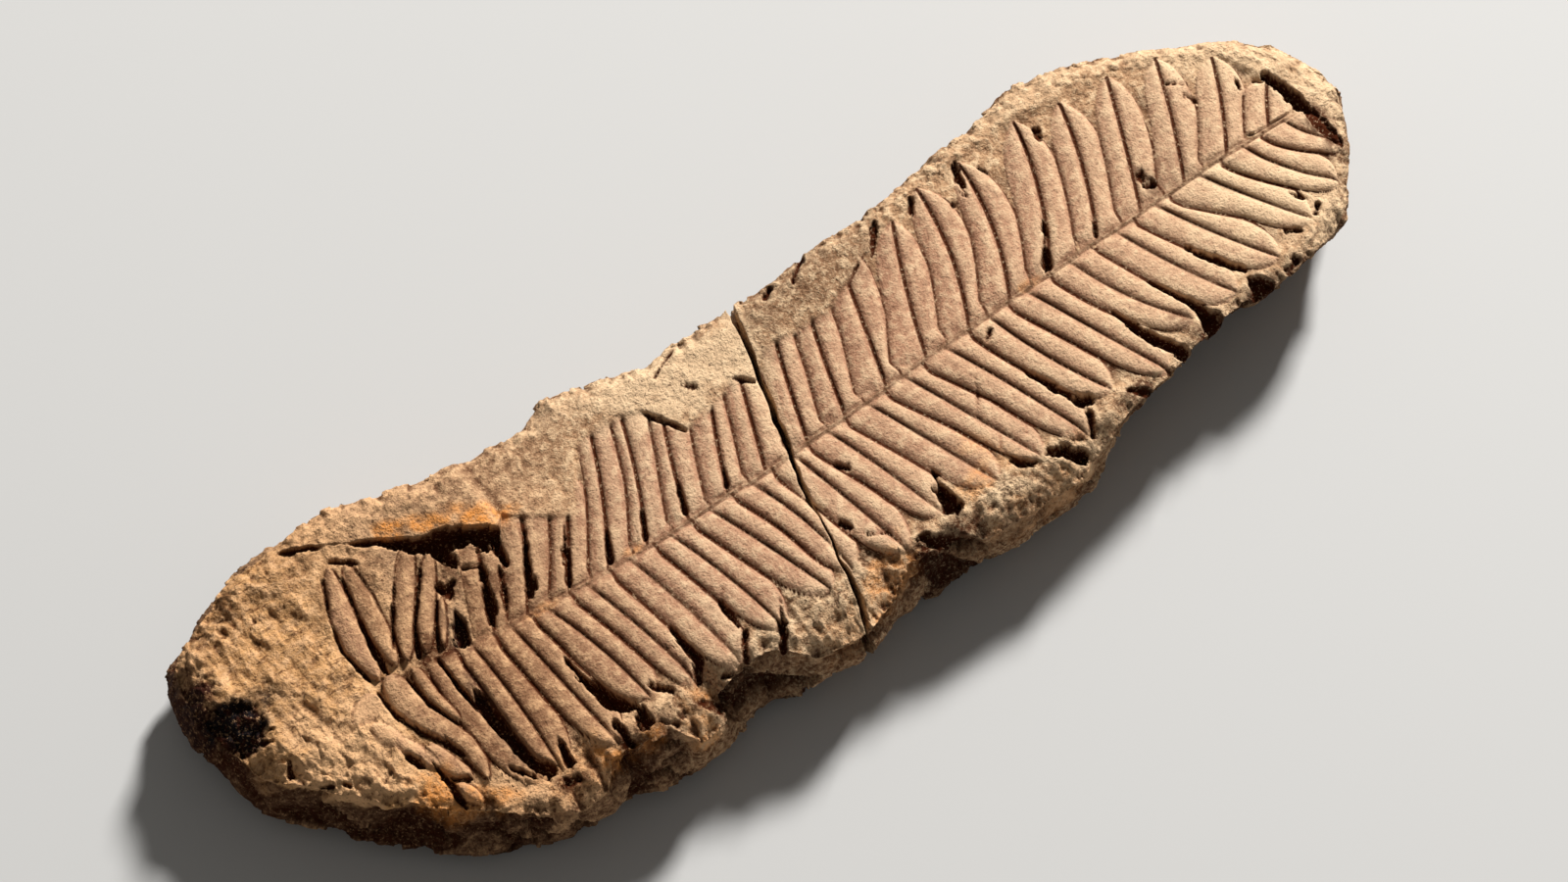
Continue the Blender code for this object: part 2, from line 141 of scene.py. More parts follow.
# ---- the frond -----------------------------------------------------------------------------------

# A leaflet has two rounded lobes with a groove between them, and tucks its butt-side edge under the leaflet
# before it: (x of the groove on the stalk, its middle x, y, the leaflet's tip x, y, the butt-side edge's
# start x, y, and that edge's middle x, y).
UPPER_LEAFLETS = (
    (-84, -80.5, 7.5, -77, 16, -88.5, 1, -85.5, 8),
    (-76, -71, 6, -64, 19, -80, 0, -75.5, 8),
    (-65.5, -60.5, 5, -54.5, 15, -69, 0, -64, 7),
    (-55.5, -47.5, 11, -41.5, 24.5, -59.5, -1, -50.5, 13),
    (-45.5, -38.5, 11, -33.5, 24.5, -48.5, -1, -41, 12),
    (-34.5, -29.5, 11, -24.5, 22.5, -38.5, -1, -32, 13),
    (-24, -19.5, 7, -15, 16.5, -28.5, -1, -24, 10),
    (-14, -9.5, 9, -6, 18.5, -18.5, -1, -14, 10),
    (-2.5, 1, 8, 5.5, 21, -7, 0, -3.5, 10),
    (8, 11.5, 10, 15, 21, 3, 0, 7, 11),
    (19.5, 24, 13, 27, 23.5, 13, 1, 18.5, 14),
    (31, 37, 15, 44, 30.5, 23.5, 2, 29.5, 12),
    (43, 50, 16, 53, 34, 37.5, 3, 44.5, 17),
    (54.5, 61, 14, 64.5, 34, 48, 2, 56.5, 17.5),
    (66, 74.5, 15, 81, 35.5, 61.5, 3, 68.5, 17),
    (79.5, 87, 16, 92.5, 33.5, 75, 3, 81.5, 16.5),
    (92, 98, 14.5, 105.5, 33, 86, 2, 92.5, 15),
    (104.5, 111, 14.5, 117.5, 30.5, 99.5, 5, 107, 18),
    (116.5, 122.5, 11, 128.5, 23.5, 110.5, 4, 118.5, 15.5),
    (128.5, 132.5, 7.5, 135.5, 11.5, 123.5, 4, 128, 10.5),
)
LOWER_LEAFLETS = (
    (-98, -96.5, -17, -94, -35.5, -101.5, -1, -102, -18),
    (-90, -89, -17, -89.5, -36, -94, -2, -93.5, -18),
    (-80.5, -78.5, -17, -76, -38, -85, -4, -83.5, -20),
    (-72, -67.5, -16, -64.5, -33, -76, -3, -73.5, -17),
    (-61.5, -57, -20, -54, -36, -66.5, -3, -62.5, -17),
    (-50.5, -46.5, -20, -43.5, -38.5, -56, -5, -53, -18),
    (-40, -35.5, -18, -31.5, -36, -44.5, -5, -41, -19),
    (-29.5, -24, -18, -18, -35, -34.5, -6, -30, -19),
    (-18.5, -14, -17, -11.5, -33.5, -23.5, -6, -19, -18),
    (-7, -3, -19, 1, -36.5, -13, -7, -9.5, -19),
    (2.5, 8, -19, 12.5, -34, -2, -9, 3, -21),
    (13.5, 20.5, -19, 27, -34.5, 7, -5, 14, -20),
    (24, 31, -18, 38.5, -35.5, 19, -6, 26.5, -19.5),
    (35.5, 42.5, -17, 50, -36.5, 30, -6, 37, -18.5),
    (48, 54, -18, 60.5, -31, 43.5, -8, 48.5, -19.5),
    (58.5, 65.5, -16, 74, -34.5, 54.5, -6, 61, -19.5),
    (71, 78, -16, 86, -27.5, 66, -5, 72.5, -18),
    (84, 91.5, -16, 98, -27.5, 79, -5, 85.5, -19),
    (95.5, 102.5, -12.5, 111, -26, 91, -5, 97.5, -16.5),
    (108, 114.5, -10, 123, -22.5, 100.5, -3.5, 110, -13.5),
    (120.5, 127, -10.5, 134, -18, 115, -3, 122, -12),
    (132.5, 136.5, -6, 140.5, -10, 127, -3, 133.5, -9.5),
)
# Lobes that lie loose at the frond's butt end: the points (x, y, half width) that each runs through.
LOOSE_LOBES = (
    ((-110.6, 4.4, 1.9), (-110.9, 13, 2.9), (-109, 23, 2.7), (-106, 32, 1.4)),
    ((-105.9, 4.6, 1.5), (-105, 12, 2.5), (-103.6, 22, 2.5), (-102.6, 30.6, 1.6)),
    ((-103.4, 4, 1.5), (-100.2, 10.5, 2.2), (-95.4, 17.5, 2.4), (-89, 26.4, 2.2)),
    ((-99, 3.2, 1.6), (-95.8, 8.6, 2.1), (-92, 14, 2.2), (-86, 22, 1.6)),
    ((-95.2, 2, 0.8), (-92.3, 7, 1.1), (-89.4, 12, 0.9)),
    ((-120.6, -1.6, 1.6), (-117, 0, 3.0), (-113, 1.4, 2.2)),
    ((-117.6, -3.6, 1.6), (-116.4, -7, 2.5), (-114.4, -11, 1.6)),
    ((-115, -9.6, 1.6), (-113.4, -14, 2.2), (-110.8, -19.6, 1.4)),
    ((-108.9, 4, 3.2), (-108.6, -4, 3.3), (-106.4, -12, 3.1),
     (-103.4, -19, 2.4), (-103, -24, 2.0), (-103.6, -28.6, 1.2)),
    ((-103.3, 2, 1.6), (-103.2, -6, 1.6), (-101.4, -14, 1.1)),
    ((-110.4, -14.6, 1.8), (-109, -20, 2.3), (-106.6, -26, 1.8)),
    ((-110, -25.6, 1.4), (-108.8, -28.4, 1.9), (-107.4, -31.6, 1.2)),
)
LOOSE_RISE = 1.5  # from a loose lobe's edge to its crest
LOOSE_EDGE = -1.1
NO_LOBE = -9.0  # stands for the height where no loose lobe lies
WIDEST_LOBE = 6.2
NARROWEST_LEAFLET, WIDEST_LEAFLET = 1.5, 10.0  # from its groove to its butt-side edge
PILLOW_POWER = 2.7
# How each row is shaped: the powers by which a leaflet narrows to its tip; the depths of the groove between
# its lobes and of the one between neighbours; how dark the painted shade is in the groove, along the
# butt-side edge and along the tip-side edge; and how much lower the butt-side edge is tucked.
UPPER_ROW = ((3.4, 0.85), (1.8, 1.5), (1.0, 0.7, 0.9), 0.5)
LOWER_ROW = ((4.0, 0.6), (1.4, 2.0), (0.6, 1.0, 1.0), 0.1)
COVERED_REACH = 1.4  # share of a leaflet's seen length at which it ends under the cover
COVERED_X = (-103, 30)  # between these the upper row runs on under the cover
STONE_DEPTH = 1.0  # of the stone that shows between the leaflets' tips
STALK_X = (-110, 137)  # where the stalk starts and ends
STALK_HALF = 0.5
STALK_CHANNEL = 0.95
STALK_DEPTH = 1.1

# The front edge of the stone that still covers the frond on its upper side: (x, y, height of the step).
COVER_EDGE = (
    (-119, 42, 0.2), (-111, 41, 1.1), (-103, 36, 0.5), (-97, 32.4, 1.1), (-93, 30.2, 1.2),
    (-87, 25.8, 2.4), (-80, 23.5, 3.2), (-70.5, 17.8, 2.9), (-68, 21, 0.5), (-57, 13, 0.25),
    (-54, 12.7, 0.2), (-46, 25, 0.3), (-34, 26, 0.3), (-29, 24, 0.3), (-23, 15, 0.5),
    (-17, 15.5, 0.4), (-9, 18, 0.4), (-3, 18, 0.4), (1, 21, 0.4), (19, 20.5, 0.4), (31, 26, 0.4),
    (38, 33, 0.3), (54, 36, 0.0), (154, 36, 0.0),
)

# The hollow under the front edge of the cover: (x, how far it reaches in front of the edge, depth).
COVER_CAVE = (
    (-113.5, 0, 0), (-112, 1.3, 2.0), (-106, 1.2, 1.8), (-104.5, 0.3, 0.4), (-99.5, 0.3, 0.4),
    (-98, 1.3, 1.8), (-94.5, 1.0, 1.6), (-92.8, 2.0, 3.0), (-90, 3.4, 3.4), (-87.5, 2.6, 3.4),
    (-86.4, 3.6, 4.0), (-83, 3.6, 4.2), (-80, 3.2, 4.2), (-75, 4.6, 4.4), (-72, 4.0, 4.2),
    (-70.8, 1.4, 2.4), (-69.8, 0, 0),
)

# Gashes, pits and gaps in the top face: a depth, then the points that each runs through as
# (x, y, half width).
GASHES = (
    (1.8, (-105.5, 33.2, 0.8), (-102, 30.8, 0.6), (-100, 28.6, 0.4)),
    (3.6, (-84.6, 23, 1.8), (-83.2, 19, 1.4), (-82.8, 16.4, 0.7)),
    (3.4, (-73.2, 16, 1.4), (-73.2, 10, 0.5)),
    (1.4, (-104.6, 8, 0.4), (-100.6, 14.4, 0.5), (-96.6, 19.8, 0.4)),
    (1.8, (-101, 3, 0.9), (-97.8, 9.8, 0.45), (-92.4, 16.4, 0.4), (-88.6, 22, 0.5)),
    (1.6, (-96.6, 2, 0.6), (-94, 7, 0.35), (-90.4, 12.4, 0.35)),
    (2.4, (-89, 15.4, 0.8), (-87.6, 12.6, 1.3), (-84.6, 14.6, 0.7)),
    (2.0, (-82, 15, 0.4), (-78.5, 13.6, 0.5)),
    (3.8, (-91.4, -0.2, 1.9), (-89.4, 4.4, 1.5), (-88.6, 7.8, 0.5)),
    (3.0, (-83.6, 0, 1.0), (-80.6, 6.5, 1.3), (-78.2, 13.4, 0.5)),
    (1.6, (-79.5, 1.5, 0.8), (-75, 11, 0.5)),
    (2.6, (-73.2, 0.6, 1.4), (-70, 7, 0.9), (-66, 14.5, 0.3)),
    (2.0, (-64.8, -1.6, 1.1), (-61, 6, 0.7), (-57.5, 11.5, 0.3)),
    (1.8, (-54.4, -2.2, 1.0), (-51, 4.5, 0.5)),
    (1.6, (-45, -2.2, 0.9), (-42, 4.2, 0.4)),
    (1.6, (-34.4, -2.2, 0.8), (-31.8, 5.2, 0.4)),
    (1.4, (-23.4, -2.2, 0.8), (-21.4, 2, 0.3)),
    (1.1, (-28.6, 22.8, 0.4), (-26.6, 19.8, 0.8), (-25.2, 17.6, 0.4), (-23.2, 14, 0.6)),
    (1.3, (-22.4, 28.3, 0.3), (-18, 30.8, 0.45), (-14, 32.6, 0.3)),
    (0.9, (-19, 24.6, 0.4), (-15.2, 21.2, 0.8)),
    (1.0, (-7.6, 18.8, 0.4), (-3.8, 15, 0.5)),
    (2.0, (9, 30.6, 0.6), (12.5, 32.8, 1.0)),
    (2.0, (16.5, 30, 0.4), (19, 32.4, 0.9), (22.5, 35.5, 0.9)),
    (1.3, (26.4, 22.2, 0.3), (28.5, 24, 0.5), (31.6, 25.8, 0.3)),
    (1.4, (35, 25.6, 0.3), (38.4, 30, 1.0), (40.6, 32.6, 0.8)),
    (1.4, (48, 29, 0.4), (51, 33, 1.1)),
    (1.0, (57.2, 26.3, 0.7), (58.2, 25.6, 0.5)),
    (1.6, (61.2, 26, 0.5), (62.4, 30.4, 0.9), (64, 34.5, 0.4)),
    (1.4, (67.4, 30.3, 0.5), (68.8, 28, 0.5)),
    (3.0, (65.2, 0.6, 1.1), (67, 3, 1.0), (69, 6.4, 0.4), (72, 11, 0.25)),
    (1.5, (83, 27.4, 0.7), (84.4, 31.5, 1.2)),
    (1.4, (79.6, 1.2, 0.5), (81.2, 4.6, 0.35)),
    (2.8, (95.6, 5.6, 0.8), (98.6, 4.2, 1.5)),
    (1.3, (97, 9, 1.1), (96.6, 6, 1.1)),
    (1.2, (115.4, 23.6, 0.3), (119.4, 20.6, 0.35)),
    (1.0, (116.8, 19.6, 0.5), (119, 15.8, 0.8)),
    (2.0, (128.7, 12.6, 0.5), (129.4, 15.4, 0.5)),
    (1.5, (132.4, 13.6, 0.4), (134.6, 11.6, 0.5)),
    (4.2, (135.4, 13.6, 0.8), (137.2, 8, 1.5), (138.2, 3.6, 1.7), (138.8, -0.4, 1.0)),
    (1.4, (138.6, 1, 1.4), (139.4, -5, 1.7), (140, -11, 1.0)),
    (1.4, (-112.4, 5, 0.4), (-113.9, 14, 0.5), (-112.2, 22, 0.5), (-108.6, 30.5, 0.35)),
    (2.0, (-108.4, 4, 0.9), (-107.9, 12, 0.7), (-106.2, 22, 0.35), (-105, 28, 0.25)),
    (1.8, (-115.2, -13, 0.4), (-113.4, -18.4, 1.1)),
    (1.4, (-136.5, 0.5, 0.6), (-138.5, -3, 0.7)),
    (1.4, (-134.5, -8.2, 0.4), (-131.5, -9.8, 0.7)),
    (1.2, (-129.8, -10.5, 0.5), (-128.6, -12.2, 0.5)),
    (1.6, (-112.6, 2, 0.5), (-112.3, -4.6, 0.6), (-109.8, -11, 0.6),
     (-106.6, -16.5, 0.8), (-104.9, -21.6, 0.9)),
    (1.8, (-111.6, -17.5, 0.5), (-111, -24, 0.8), (-110.8, -31, 0.5)),
    (1.4, (-110, -23.8, 0.4), (-106.4, -26.2, 0.5)),
    (2.2, (-105.8, 1.4, 0.5), (-105, -7, 0.5), (-102.6, -13, 0.3)),
    (2.4, (-97.8, 0.6, 0.5), (-97.5, -8, 0.6), (-96.6, -15, 0.6)),
    (4.2, (-95.2, -9, 0.8), (-95.2, -16, 1.8), (-94.4, -25, 1.2), (-94, -31, 1.4)),
    (3.6, (-94.6, -30, 1.0), (-91, -35.6, 1.8)),
    (3.2, (-86.4, -30.4, 0.6), (-87.2, -36, 1.3)),
    (1.0, (-90.6, -38, 0.9), (-86.6, -39.2, 0.9)),
    (2.4, (-98.6, -29, 0.6), (-95, -34, 0.7)),
    (3.8, (-75, -15, 0.7), (-74.2, -22, 1.1), (-71.6, -31, 2.0)),
    (3.0, (-71.6, -30, 1.6), (-67.4, -33.6, 0.8)),
    (2.6, (-74, -33, 0.7), (-73.6, -40, 0.9)),
    (3.0, (-67.8, -33, 1.2), (-68.8, -38.6, 2.0)),
    (1.0, (-66.4, -38.4, 0.5), (-62.5, -41, 0.5)),
    (2.0, (-63.4, -30.6, 0.5), (-59, -34.6, 0.8)),
    (2.6, (-52.4, -22, 0.9), (-51.2, -32, 1.1), (-53.6, -35.6, 0.8)),
    (1.8, (-40, -23, 0.5), (-39.6, -31, 0.7)),
    (2.8, (-39, -31.5, 0.8), (-42.6, -38, 0.7), (-46, -42.5, 0.9)),
    (2.8, (-28.8, -31, 0.6), (-32.4, -37, 0.9), (-37, -43.4, 0.7)),
    (1.8, (-49, -37.2, 0.4), (-45, -39.4, 0.5)),
    (1.0, (-56.4, -39, 0.9), (-52, -42.4, 1.2)),
    (0.8, (-56, -25.2, 0.25), (-53, -27, 0.25)),
    (0.9, (-40.4, -24.8, 0.3), (-37.4, -21.4, 0.3)),
    (1.6, (-8, -22.6, 0.8), (-6, -25.4, 0.7)),
    (1.2, (-5, -28.4, 0.3), (0.4, -31.6, 0.3)),
    (1.6, (-0.8, -11, 0.3), (1.6, -13.8, 0.6)),
    (2.6, (4, -35.6, 0.8), (8, -38.4, 1.8), (13, -41.4, 2.2)),
    (2.6, (1, -41.4, 1.6), (9, -42.6, 2.2)),
    (4.4, (16, -24, 0.25), (15.5, -35.4, 2.9)),
    (0.8, (32, -20.2, 0.3), (37.2, -12, 0.25)),
    (0.8, (31.8, -28.8, 0.25), (33.6, -26.4, 0.3)),
    (0.8, (38.4, -29, 0.25), (40, -27.2, 0.25)),
    (2.0, (31.8, -31.8, 0.4), (33.6, -34.4, 0.8), (37, -36, 0.5)),
    (4.4, (38.8, -35, 0.4), (43, -37, 1.4), (47.8, -40.4, 2.0)),
    (3.6, (51.6, -28.4, 1.2), (55.8, -30.8, 1.5)),
    (2.4, (53.6, -32, 0.8), (50.6, -38, 0.5)),
    (2.0, (47, -17, 0.6), (50.6, -24.6, 0.9), (52.4, -28.6, 0.9)),
    (1.4, (44, -6, 0.4), (47, -4, 0.6)),
    (1.2, (63, -33, 0.7), (67.4, -36.6, 1.2)),
    (3.6, (71, -14.5, 0.4), (74.4, -23.5, 1.0), (76.4, -28, 1.5), (80.4, -34.5, 1.3)),
    (4.4, (82.6, -14, 0.3), (86, -20.5, 0.6), (88.8, -26, 1.1), (89.4, -30.5, 2.7), (88.6, -34.5, 3.4)),
    (3.2, (95, -12, 0.4), (99, -19.4, 1.0), (103, -24.6, 0.9)),
    (3.8, (102.6, -26.4, 0.8), (103.4, -30.6, 2.4), (104, -34, 3.0)),
    (1.2, (110, -30, 1.0), (114.5, -28.4, 0.9)),
    (1.6, (115.8, -21.6, 0.5), (119.4, -23.6, 0.5)),
    (2.2, (122, -14, 0.5), (124.4, -17.6, 0.8)),
    (2.4, (124, -22.2, 0.6), (126.8, -19.8, 0.7)),
)
GASH_REACH = 16  # along X from its first point, past which no gash runs
SOCKET = (-142, 13, 7, 5.6, -20, 2.4)  # an oval hollow near the butt end: x, y, half sizes, turn, depth
FROND_END = (-112, 0.12)  # x of the frond's butt end at the stalk, and how it leans back away from there
SOFT_COVER_X = (-70, -64)  # past here the cover's front edge is a soft slope
SANDY_COVER_X = (-4, 3, 60, 40)  # the cover is sandy between these
FAINT_STALK_X = (-60, -30)  # before here the stalk is half as deep
BUTT_X = (-103, -124)  # where the butt end's rough bare stone begins, and where it is in full
STREAK_ACROSS = (0.98, 0.18)  # cosine and sine of the way across its streaks

# Stains on the top face, some of them painted light or shade: (x, y, half length, half width, turn in
# degrees, strength). The rust spots on the lower rim's slopes near x -87, -57, -18 and 34 are painted warm
# light.
RUST_AND_WARM_LIGHT = (
    (34, -46, 16, 6, 12, 0.3), (-18, -44, 12, 6, 0, 0.25), (-87, -37, 10, 5, 0, 0.25),
    (-90, 31, 4, 2.4, -30, 1.0), (-83, 27.5, 6, 1.8, -30, 0.9), (-73, 22.5, 6, 2.6, -32, 1.0),
    (-115, -26, 5, 6, -30, 0.9), (-105, -31.5, 7, 2.0, -32, 0.7), (-77, -39.5, 5, 2.0, -25, 1.0),
    (-68, -39.5, 3, 2, -20, 0.9), (-57, -41, 5, 4, 20, 0.5), (-59, -46, 4, 3, 20, 0.5),
    (-48.5, -2.6, 2.5, 1.2, 0, 0.5), (-73, -2.4, 4, 1.2, 0, 0.3), (-6, -40, 8, 4, 20, 0.6),
    (22, -32, 6, 3, 25, 0.5), (31, -30, 10, 2.5, -55, 0.25), (60, 0, 3, 1.0, 0, 0.4),
    (-123, -26, 6, 1.5, -36, 0.7),
)
# The pale spots on the lower rim's slopes near x -87, -57, -18 and 34 are painted light.
PALE = (
    (34, -46, 15, 5, 12, 0.6), (-18, -44, 12, 5, 0, 0.5), (-87, -36, 9, 4, 0, 0.4),
    (-18, 27, 18, 9, -8, 0.8), (-6, 22, 6, 10, 30, 0.8), (24, -36.5, 12, 2.0, -18, 0.9),
    (42, -43, 8, 2.5, 18, 0.5), (-24, -39, 8, 6, 10, 0.4), (-94, -37, 12, 3.5, -32, 0.6),
    (-80, -37, 5, 2.5, -50, 0.6), (-56, -46, 5, 6, 20, 0.9), (130, 22, 22, 5, -38, 0.7),
    (146, 0, 5, 16, 0, 0.8), (118, -14, 18, 9, -30, 0.8), (64, -17, 56, 14, -2, 0.18),
    (-57, -43, 4, 5, 10, 1.0), (-86, -42, 5, 5, 0, 0.6), (-145, 32, 7, 5, 40, 0.5),
    (-126, -8, 14, 13, -30, 0.9), (-100, 41, 14, 5, -10, 0.3), (84, 40, 16, 4, 0, 0.35),
    (-45, 35, 8, 3, 0, 0.5), (-124, -26.5, 6, 1.4, -36, 1.0),
)
# Dark spots: some are dirt; those in pits and notches and under the lower rim are painted shade.
DIRT_AND_SHADE = (
    (-127, 17, 12, 11, 0, 0.25), (-136, 34, 10, 7, 40, 0.35), (-148, 22, 8.5, 6.5, 60, 1.0),
    (-128, 36, 9, 5, 50, 0.4), (-118, 36, 12, 8, 20, 0.3), (-60, 31, 16, 7, -4, 0.3),
    (-98.5, 25, 3.5, 4.5, -30, 0.5), (-98, 2, 6, 2.2, 0, 0.9), (-89, -38.6, 3, 1.5, -20, 1.0),
    (-74.6, -38.6, 1.8, 2.4, 0, 1.0), (-54.5, -40.8, 3.6, 1.6, -35, 1.0), (8.5, -41, 7, 5, -10, 1.0),
    (88.5, -32, 4, 3, 0, 1.0), (103.5, -31, 5, 3, 0, 1.0), (115, -29.5, 3, 2.4, -30, 0.7),
    (66.5, -34.5, 3.4, 2.6, -40, 0.8), (18, 28, 17, 9, 8, 0.4), (84, -27, 2, 4, 30, 0.5),
    (-144, 10, 6, 3, -20, 0.6), (-137, 36, 5, 2, 60, 0.5), (-129, 38, 2, 4, -20, 0.7),
    (-143, 2, 5, 4, 0, 0.4), (-98, 3.5, 4, 3, 20, 0.7), (-86, 13.5, 3, 2.4, 0, 0.8),
    (-84, 19.5, 2, 5, 0, 0.7), (-78, 7.5, 5, 3, 62, 0.6), (-112, 26, 2.4, 5, -10, 0.4),
    (-88, -39, 4, 2, 0, 0.8), (-71, -41, 7, 4, 10, 0.6), (-52, -42, 3, 2, -20, 0.9),
    (98, 6, 2.5, 3.5, 0, 0.6), (66, -36, 4, 2.5, 0, 0.6), (104, -30, 6, 2.5, 0, 0.5),
    (139.6, -6, 2.6, 6, 0, 0.9), (28, -43, 6, 3, 0, 0.4), (8, -40, 5, 4, 0, 0.8),
    (105, 6, 4, 3, 20, 0.25),
)
LOW_STAINS_X = (-135, -145)  # past here stains reach further down the sides
# Black spots: the socket near the butt end and a patch beside it, and painted shade in the gashes near x -91
# and -95.
BLACK_SPOTS_AND_SHADE = (
    (-141.3, 14.8, 7, 5.6, -20, 1.0), (-148, 21.5, 7, 5.5, 60, 0.6), (-91, 4, 2.4, 5, -20, 0.6),
    (-95, -20, 2, 12, 0, 0.5),
)

# The sides' broken faces, along the slab: (x, how far the face is hollowed in, how dark its painted shade is,
# 0 to 1).
LOWER_FACES = (
    (-152, 0.5, 0.8), (-136, 1.0, 0.9), (-120, 2.0, 1.0), (-113, 1.0, 0.9), (-106, 0.0, 0.9),
    (-104.5, 0.0, 0.5), (-103, 2.5, 1.0), (-96, 2.5, 1.0), (-93, 0.0, 0.25), (-83, 0.0, 0.3),
    (-79, 0.8, 0.65), (-64, 1.0, 0.8), (-62, 0.0, 0.1), (-52, 0.0, 0.05), (-50, 2.5, 1.0),
    (-37, 2.5, 1.0), (-34, 0.0, 0.2), (-16, 0.0, 0.25), (-12, 0.0, 0.4), (2, 0.0, 0.45),
    (4, 2.5, 1.0), (13, 2.5, 0.95), (15, 0.0, 0.35), (34, 0.0, 0.3), (40, 0.0, 0.2), (60, 0.0, 0.25),
    (66, 0.8, 0.6), (80, 0.5, 0.4), (84, 1.6, 0.9), (92, 1.6, 0.9), (94, 0.3, 0.4), (100, 1.2, 0.8),
    (106, 1.2, 0.8), (110, 0.3, 0.35), (150, 0.3, 0.3),
)
UPPER_FACES = (
    (-152, 0.5, 0.8), (-130, 1.0, 0.7), (-100, 0.4, 0.3), (-60, 0.8, 0.5), (-20, 0.3, 0.2),
    (10, 0.8, 0.6), (60, 0.4, 0.4), (150, 0.3, 0.3),
)

# ---- resolution ----------------------------------------------------------------------------------

STATIONS = 462  # ribs along each block
TOP_STEPS = (64, 48, 32)  # lower rim to stalk, stalk to the cover's edge, and on to the upper rim
CROWDING = 0.35  # how much closer the steps are at the ends of each stretch
WALL_STEPS = 28
BASE_STEPS = 2
CAP_RINGS = 12
FINE = 4000  # points that the ribs' curves are measured on
END_SHARE = 0.12  # of a block's length over which the stalk's line runs into the end
CRACK_SHARE = 0.1  # of a block's length over which the ribs are bent on to the crack
LATTICE = 32  # cells each way before the lumps repeat, and before the chips do
CHIP_LATTICE = 16
MERGE, FLATTEN = 1e-6, 1e-7  # in metres: points this close are one, and shorter edges are dissolved

# ---- finish --------------------------------------------------------------------------------------

LEAF_COLOUR = (0.44, 0.23, 0.134)
STONE_COLOUR = (0.46, 0.265, 0.14)
OLD_LEAF_COLOUR = (0.26, 0.125, 0.062)  # towards the butt end
BUTT_STONE_COLOUR = (0.68, 0.365, 0.15)
PALE_COLOUR = (0.78, 0.55, 0.33)
OLD_PALE_COLOUR = (0.76, 0.45, 0.23)
RUST_AND_WARM_LIGHT_COLOUR = (0.78, 0.30, 0.07)
DIRT_AND_SHADE_COLOUR = (0.055, 0.011, 0.002)
# The broken sides' colour is darker than the stone's partly as painted shade.
BROKEN_AND_SHADED_COLOUR = (0.30, 0.165, 0.085)
SHADE_COLOUR = (0.045, 0.012, 0.004)
STALK_COLOUR = (0.13, 0.062, 0.030)
BLACK_SPOTS_AND_SHADE_COLOUR = (0.010, 0.008, 0.009)
BUTT_STONE_X = (-95, -120)  # between the two of each pair the colours change over, along the slab
OLD_LEAF_X = (-40, -82)
LAST_LEAF_X = (-104, -112)  # the loose lobes past here aren't darkened
PALE_LEAF_X = (60, 135)
OLD_PALE_X = (-40, -85)
DULL_CREST_X = (-60, -85)
STREAKED_X = (-104, -116)
BUTT_WARMTH = 0.92  # by which the stone's colour is multiplied in patches on each block
TIP_WARMTH = 1.0
SHEEN = 0.06
BLOTCH_SIZE = 14  # of the patterns in the stone, from patches of colour down to single grains
MOTTLE_SIZE = 2.2
STREAK_SIZE = 1.6
SAND_SIZE = 1.3
SPECKLE_SIZE = 0.75
GRAIN_SIZE = 0.55
STREAK_TURN = 100  # degrees from +X
STREAK_SQUEEZE = 0.25  # the streaks are four times as long as they are wide
# The underside and the crack's faces are darkened by painted shade.
HIDDEN_SHADE = 0.4  # how dark the underside and the crack's faces are

# ---- light and camera ----------------------------------------------------------------------------

CAMERA_TARGET = (-7.3, -1.0, 30.0)
CAMERA_DISTANCE = 1100.0
CAMERA_ELEVATION = 68.0
CAMERA_TURN = -34.57
CAMERA_LENS = 114.3
CAMERA_SENSOR = 36.0
KEY_AZIMUTH = 32.0
KEY_ELEVATION = 36.0
KEY_DISTANCE = 3.0  # this, the lamp's size and the floor's half size are in metres
KEY_SIZE = 0.46
KEY_POWER = 172  # watts
SKY_COLOUR = (1.0, 0.98, 0.95)
SKY_STRENGTH = 0.16
FLOOR_HALF = 3.0
FLOOR_COLOUR = (0.55, 0.54, 0.52)
FLOOR_ROUGHNESS = 0.9


def smooth(start, end, value):
    """0 before start, 1 after end, and an S curve between them."""
    t = np.clip((value - start) / (end - start), 0, 1)
    return t * t * (3 - 2 * t)


def along(table, x, column):
    """One column of a table read at x, straight between its rows."""
    rows = np.array(table, float)
    return np.interp(x, rows[:, 0], rows[:, column])


def spline(points, t):
    """A smooth curve through the points (Catmull-Rom), read at each t from 0 to 1."""
    points = np.asarray(points, float)
    last = len(points) - 1
    place = np.clip(t, 0, 1) * last
    i = np.minimum(place.astype(int), last - 1)
    f = (place - i).reshape((-1,) + (1,) * (points.ndim - 1))
    a, b, c, d = (points[np.clip(i + k, 0, last)] for k in (-1, 0, 1, 2))
    return b + 0.5 * f * (c - a + f * (2 * a - 5 * b + 4 * c - d + f * (3 * (b - c) + d - a)))


def lumps(x, y, z, size, seed):
    """Smooth random lumps about size across, from -1 to 1: random values on a lattice, blended between.
    Every call of lumps, rough and chips has a seed of its own, so that no two patterns are alike."""
    values = np.random.default_rng(seed).uniform(-1, 1, (LATTICE,) * 3)
    cell = [np.asarray(c, float) / size for c in np.broadcast_arrays(x, y, z)]
    low = [np.floor(c).astype(int) for c in cell]
    part = [smooth(0, 1, c - f) for c, f in zip(cell, low)]
    total = 0.0
    for corner in range(8):
        bits = [(corner >> k) & 1 for k in range(3)]
        index = tuple((f + b) % LATTICE for f, b in zip(low, bits))
        weight = 1.0
        for p, b in zip(part, bits):
            weight = weight * (p if b else 1 - p)
        total = total + weight * values[index]
    return total


def rough(x, y, z, size, seed, octaves=3):
    """Lumps with smaller lumps on them: each octave is half the size and half the height of the last."""
    return sum(lumps(x, y, z, size / 2**k, seed + k) / 2**k for k in range(octaves))


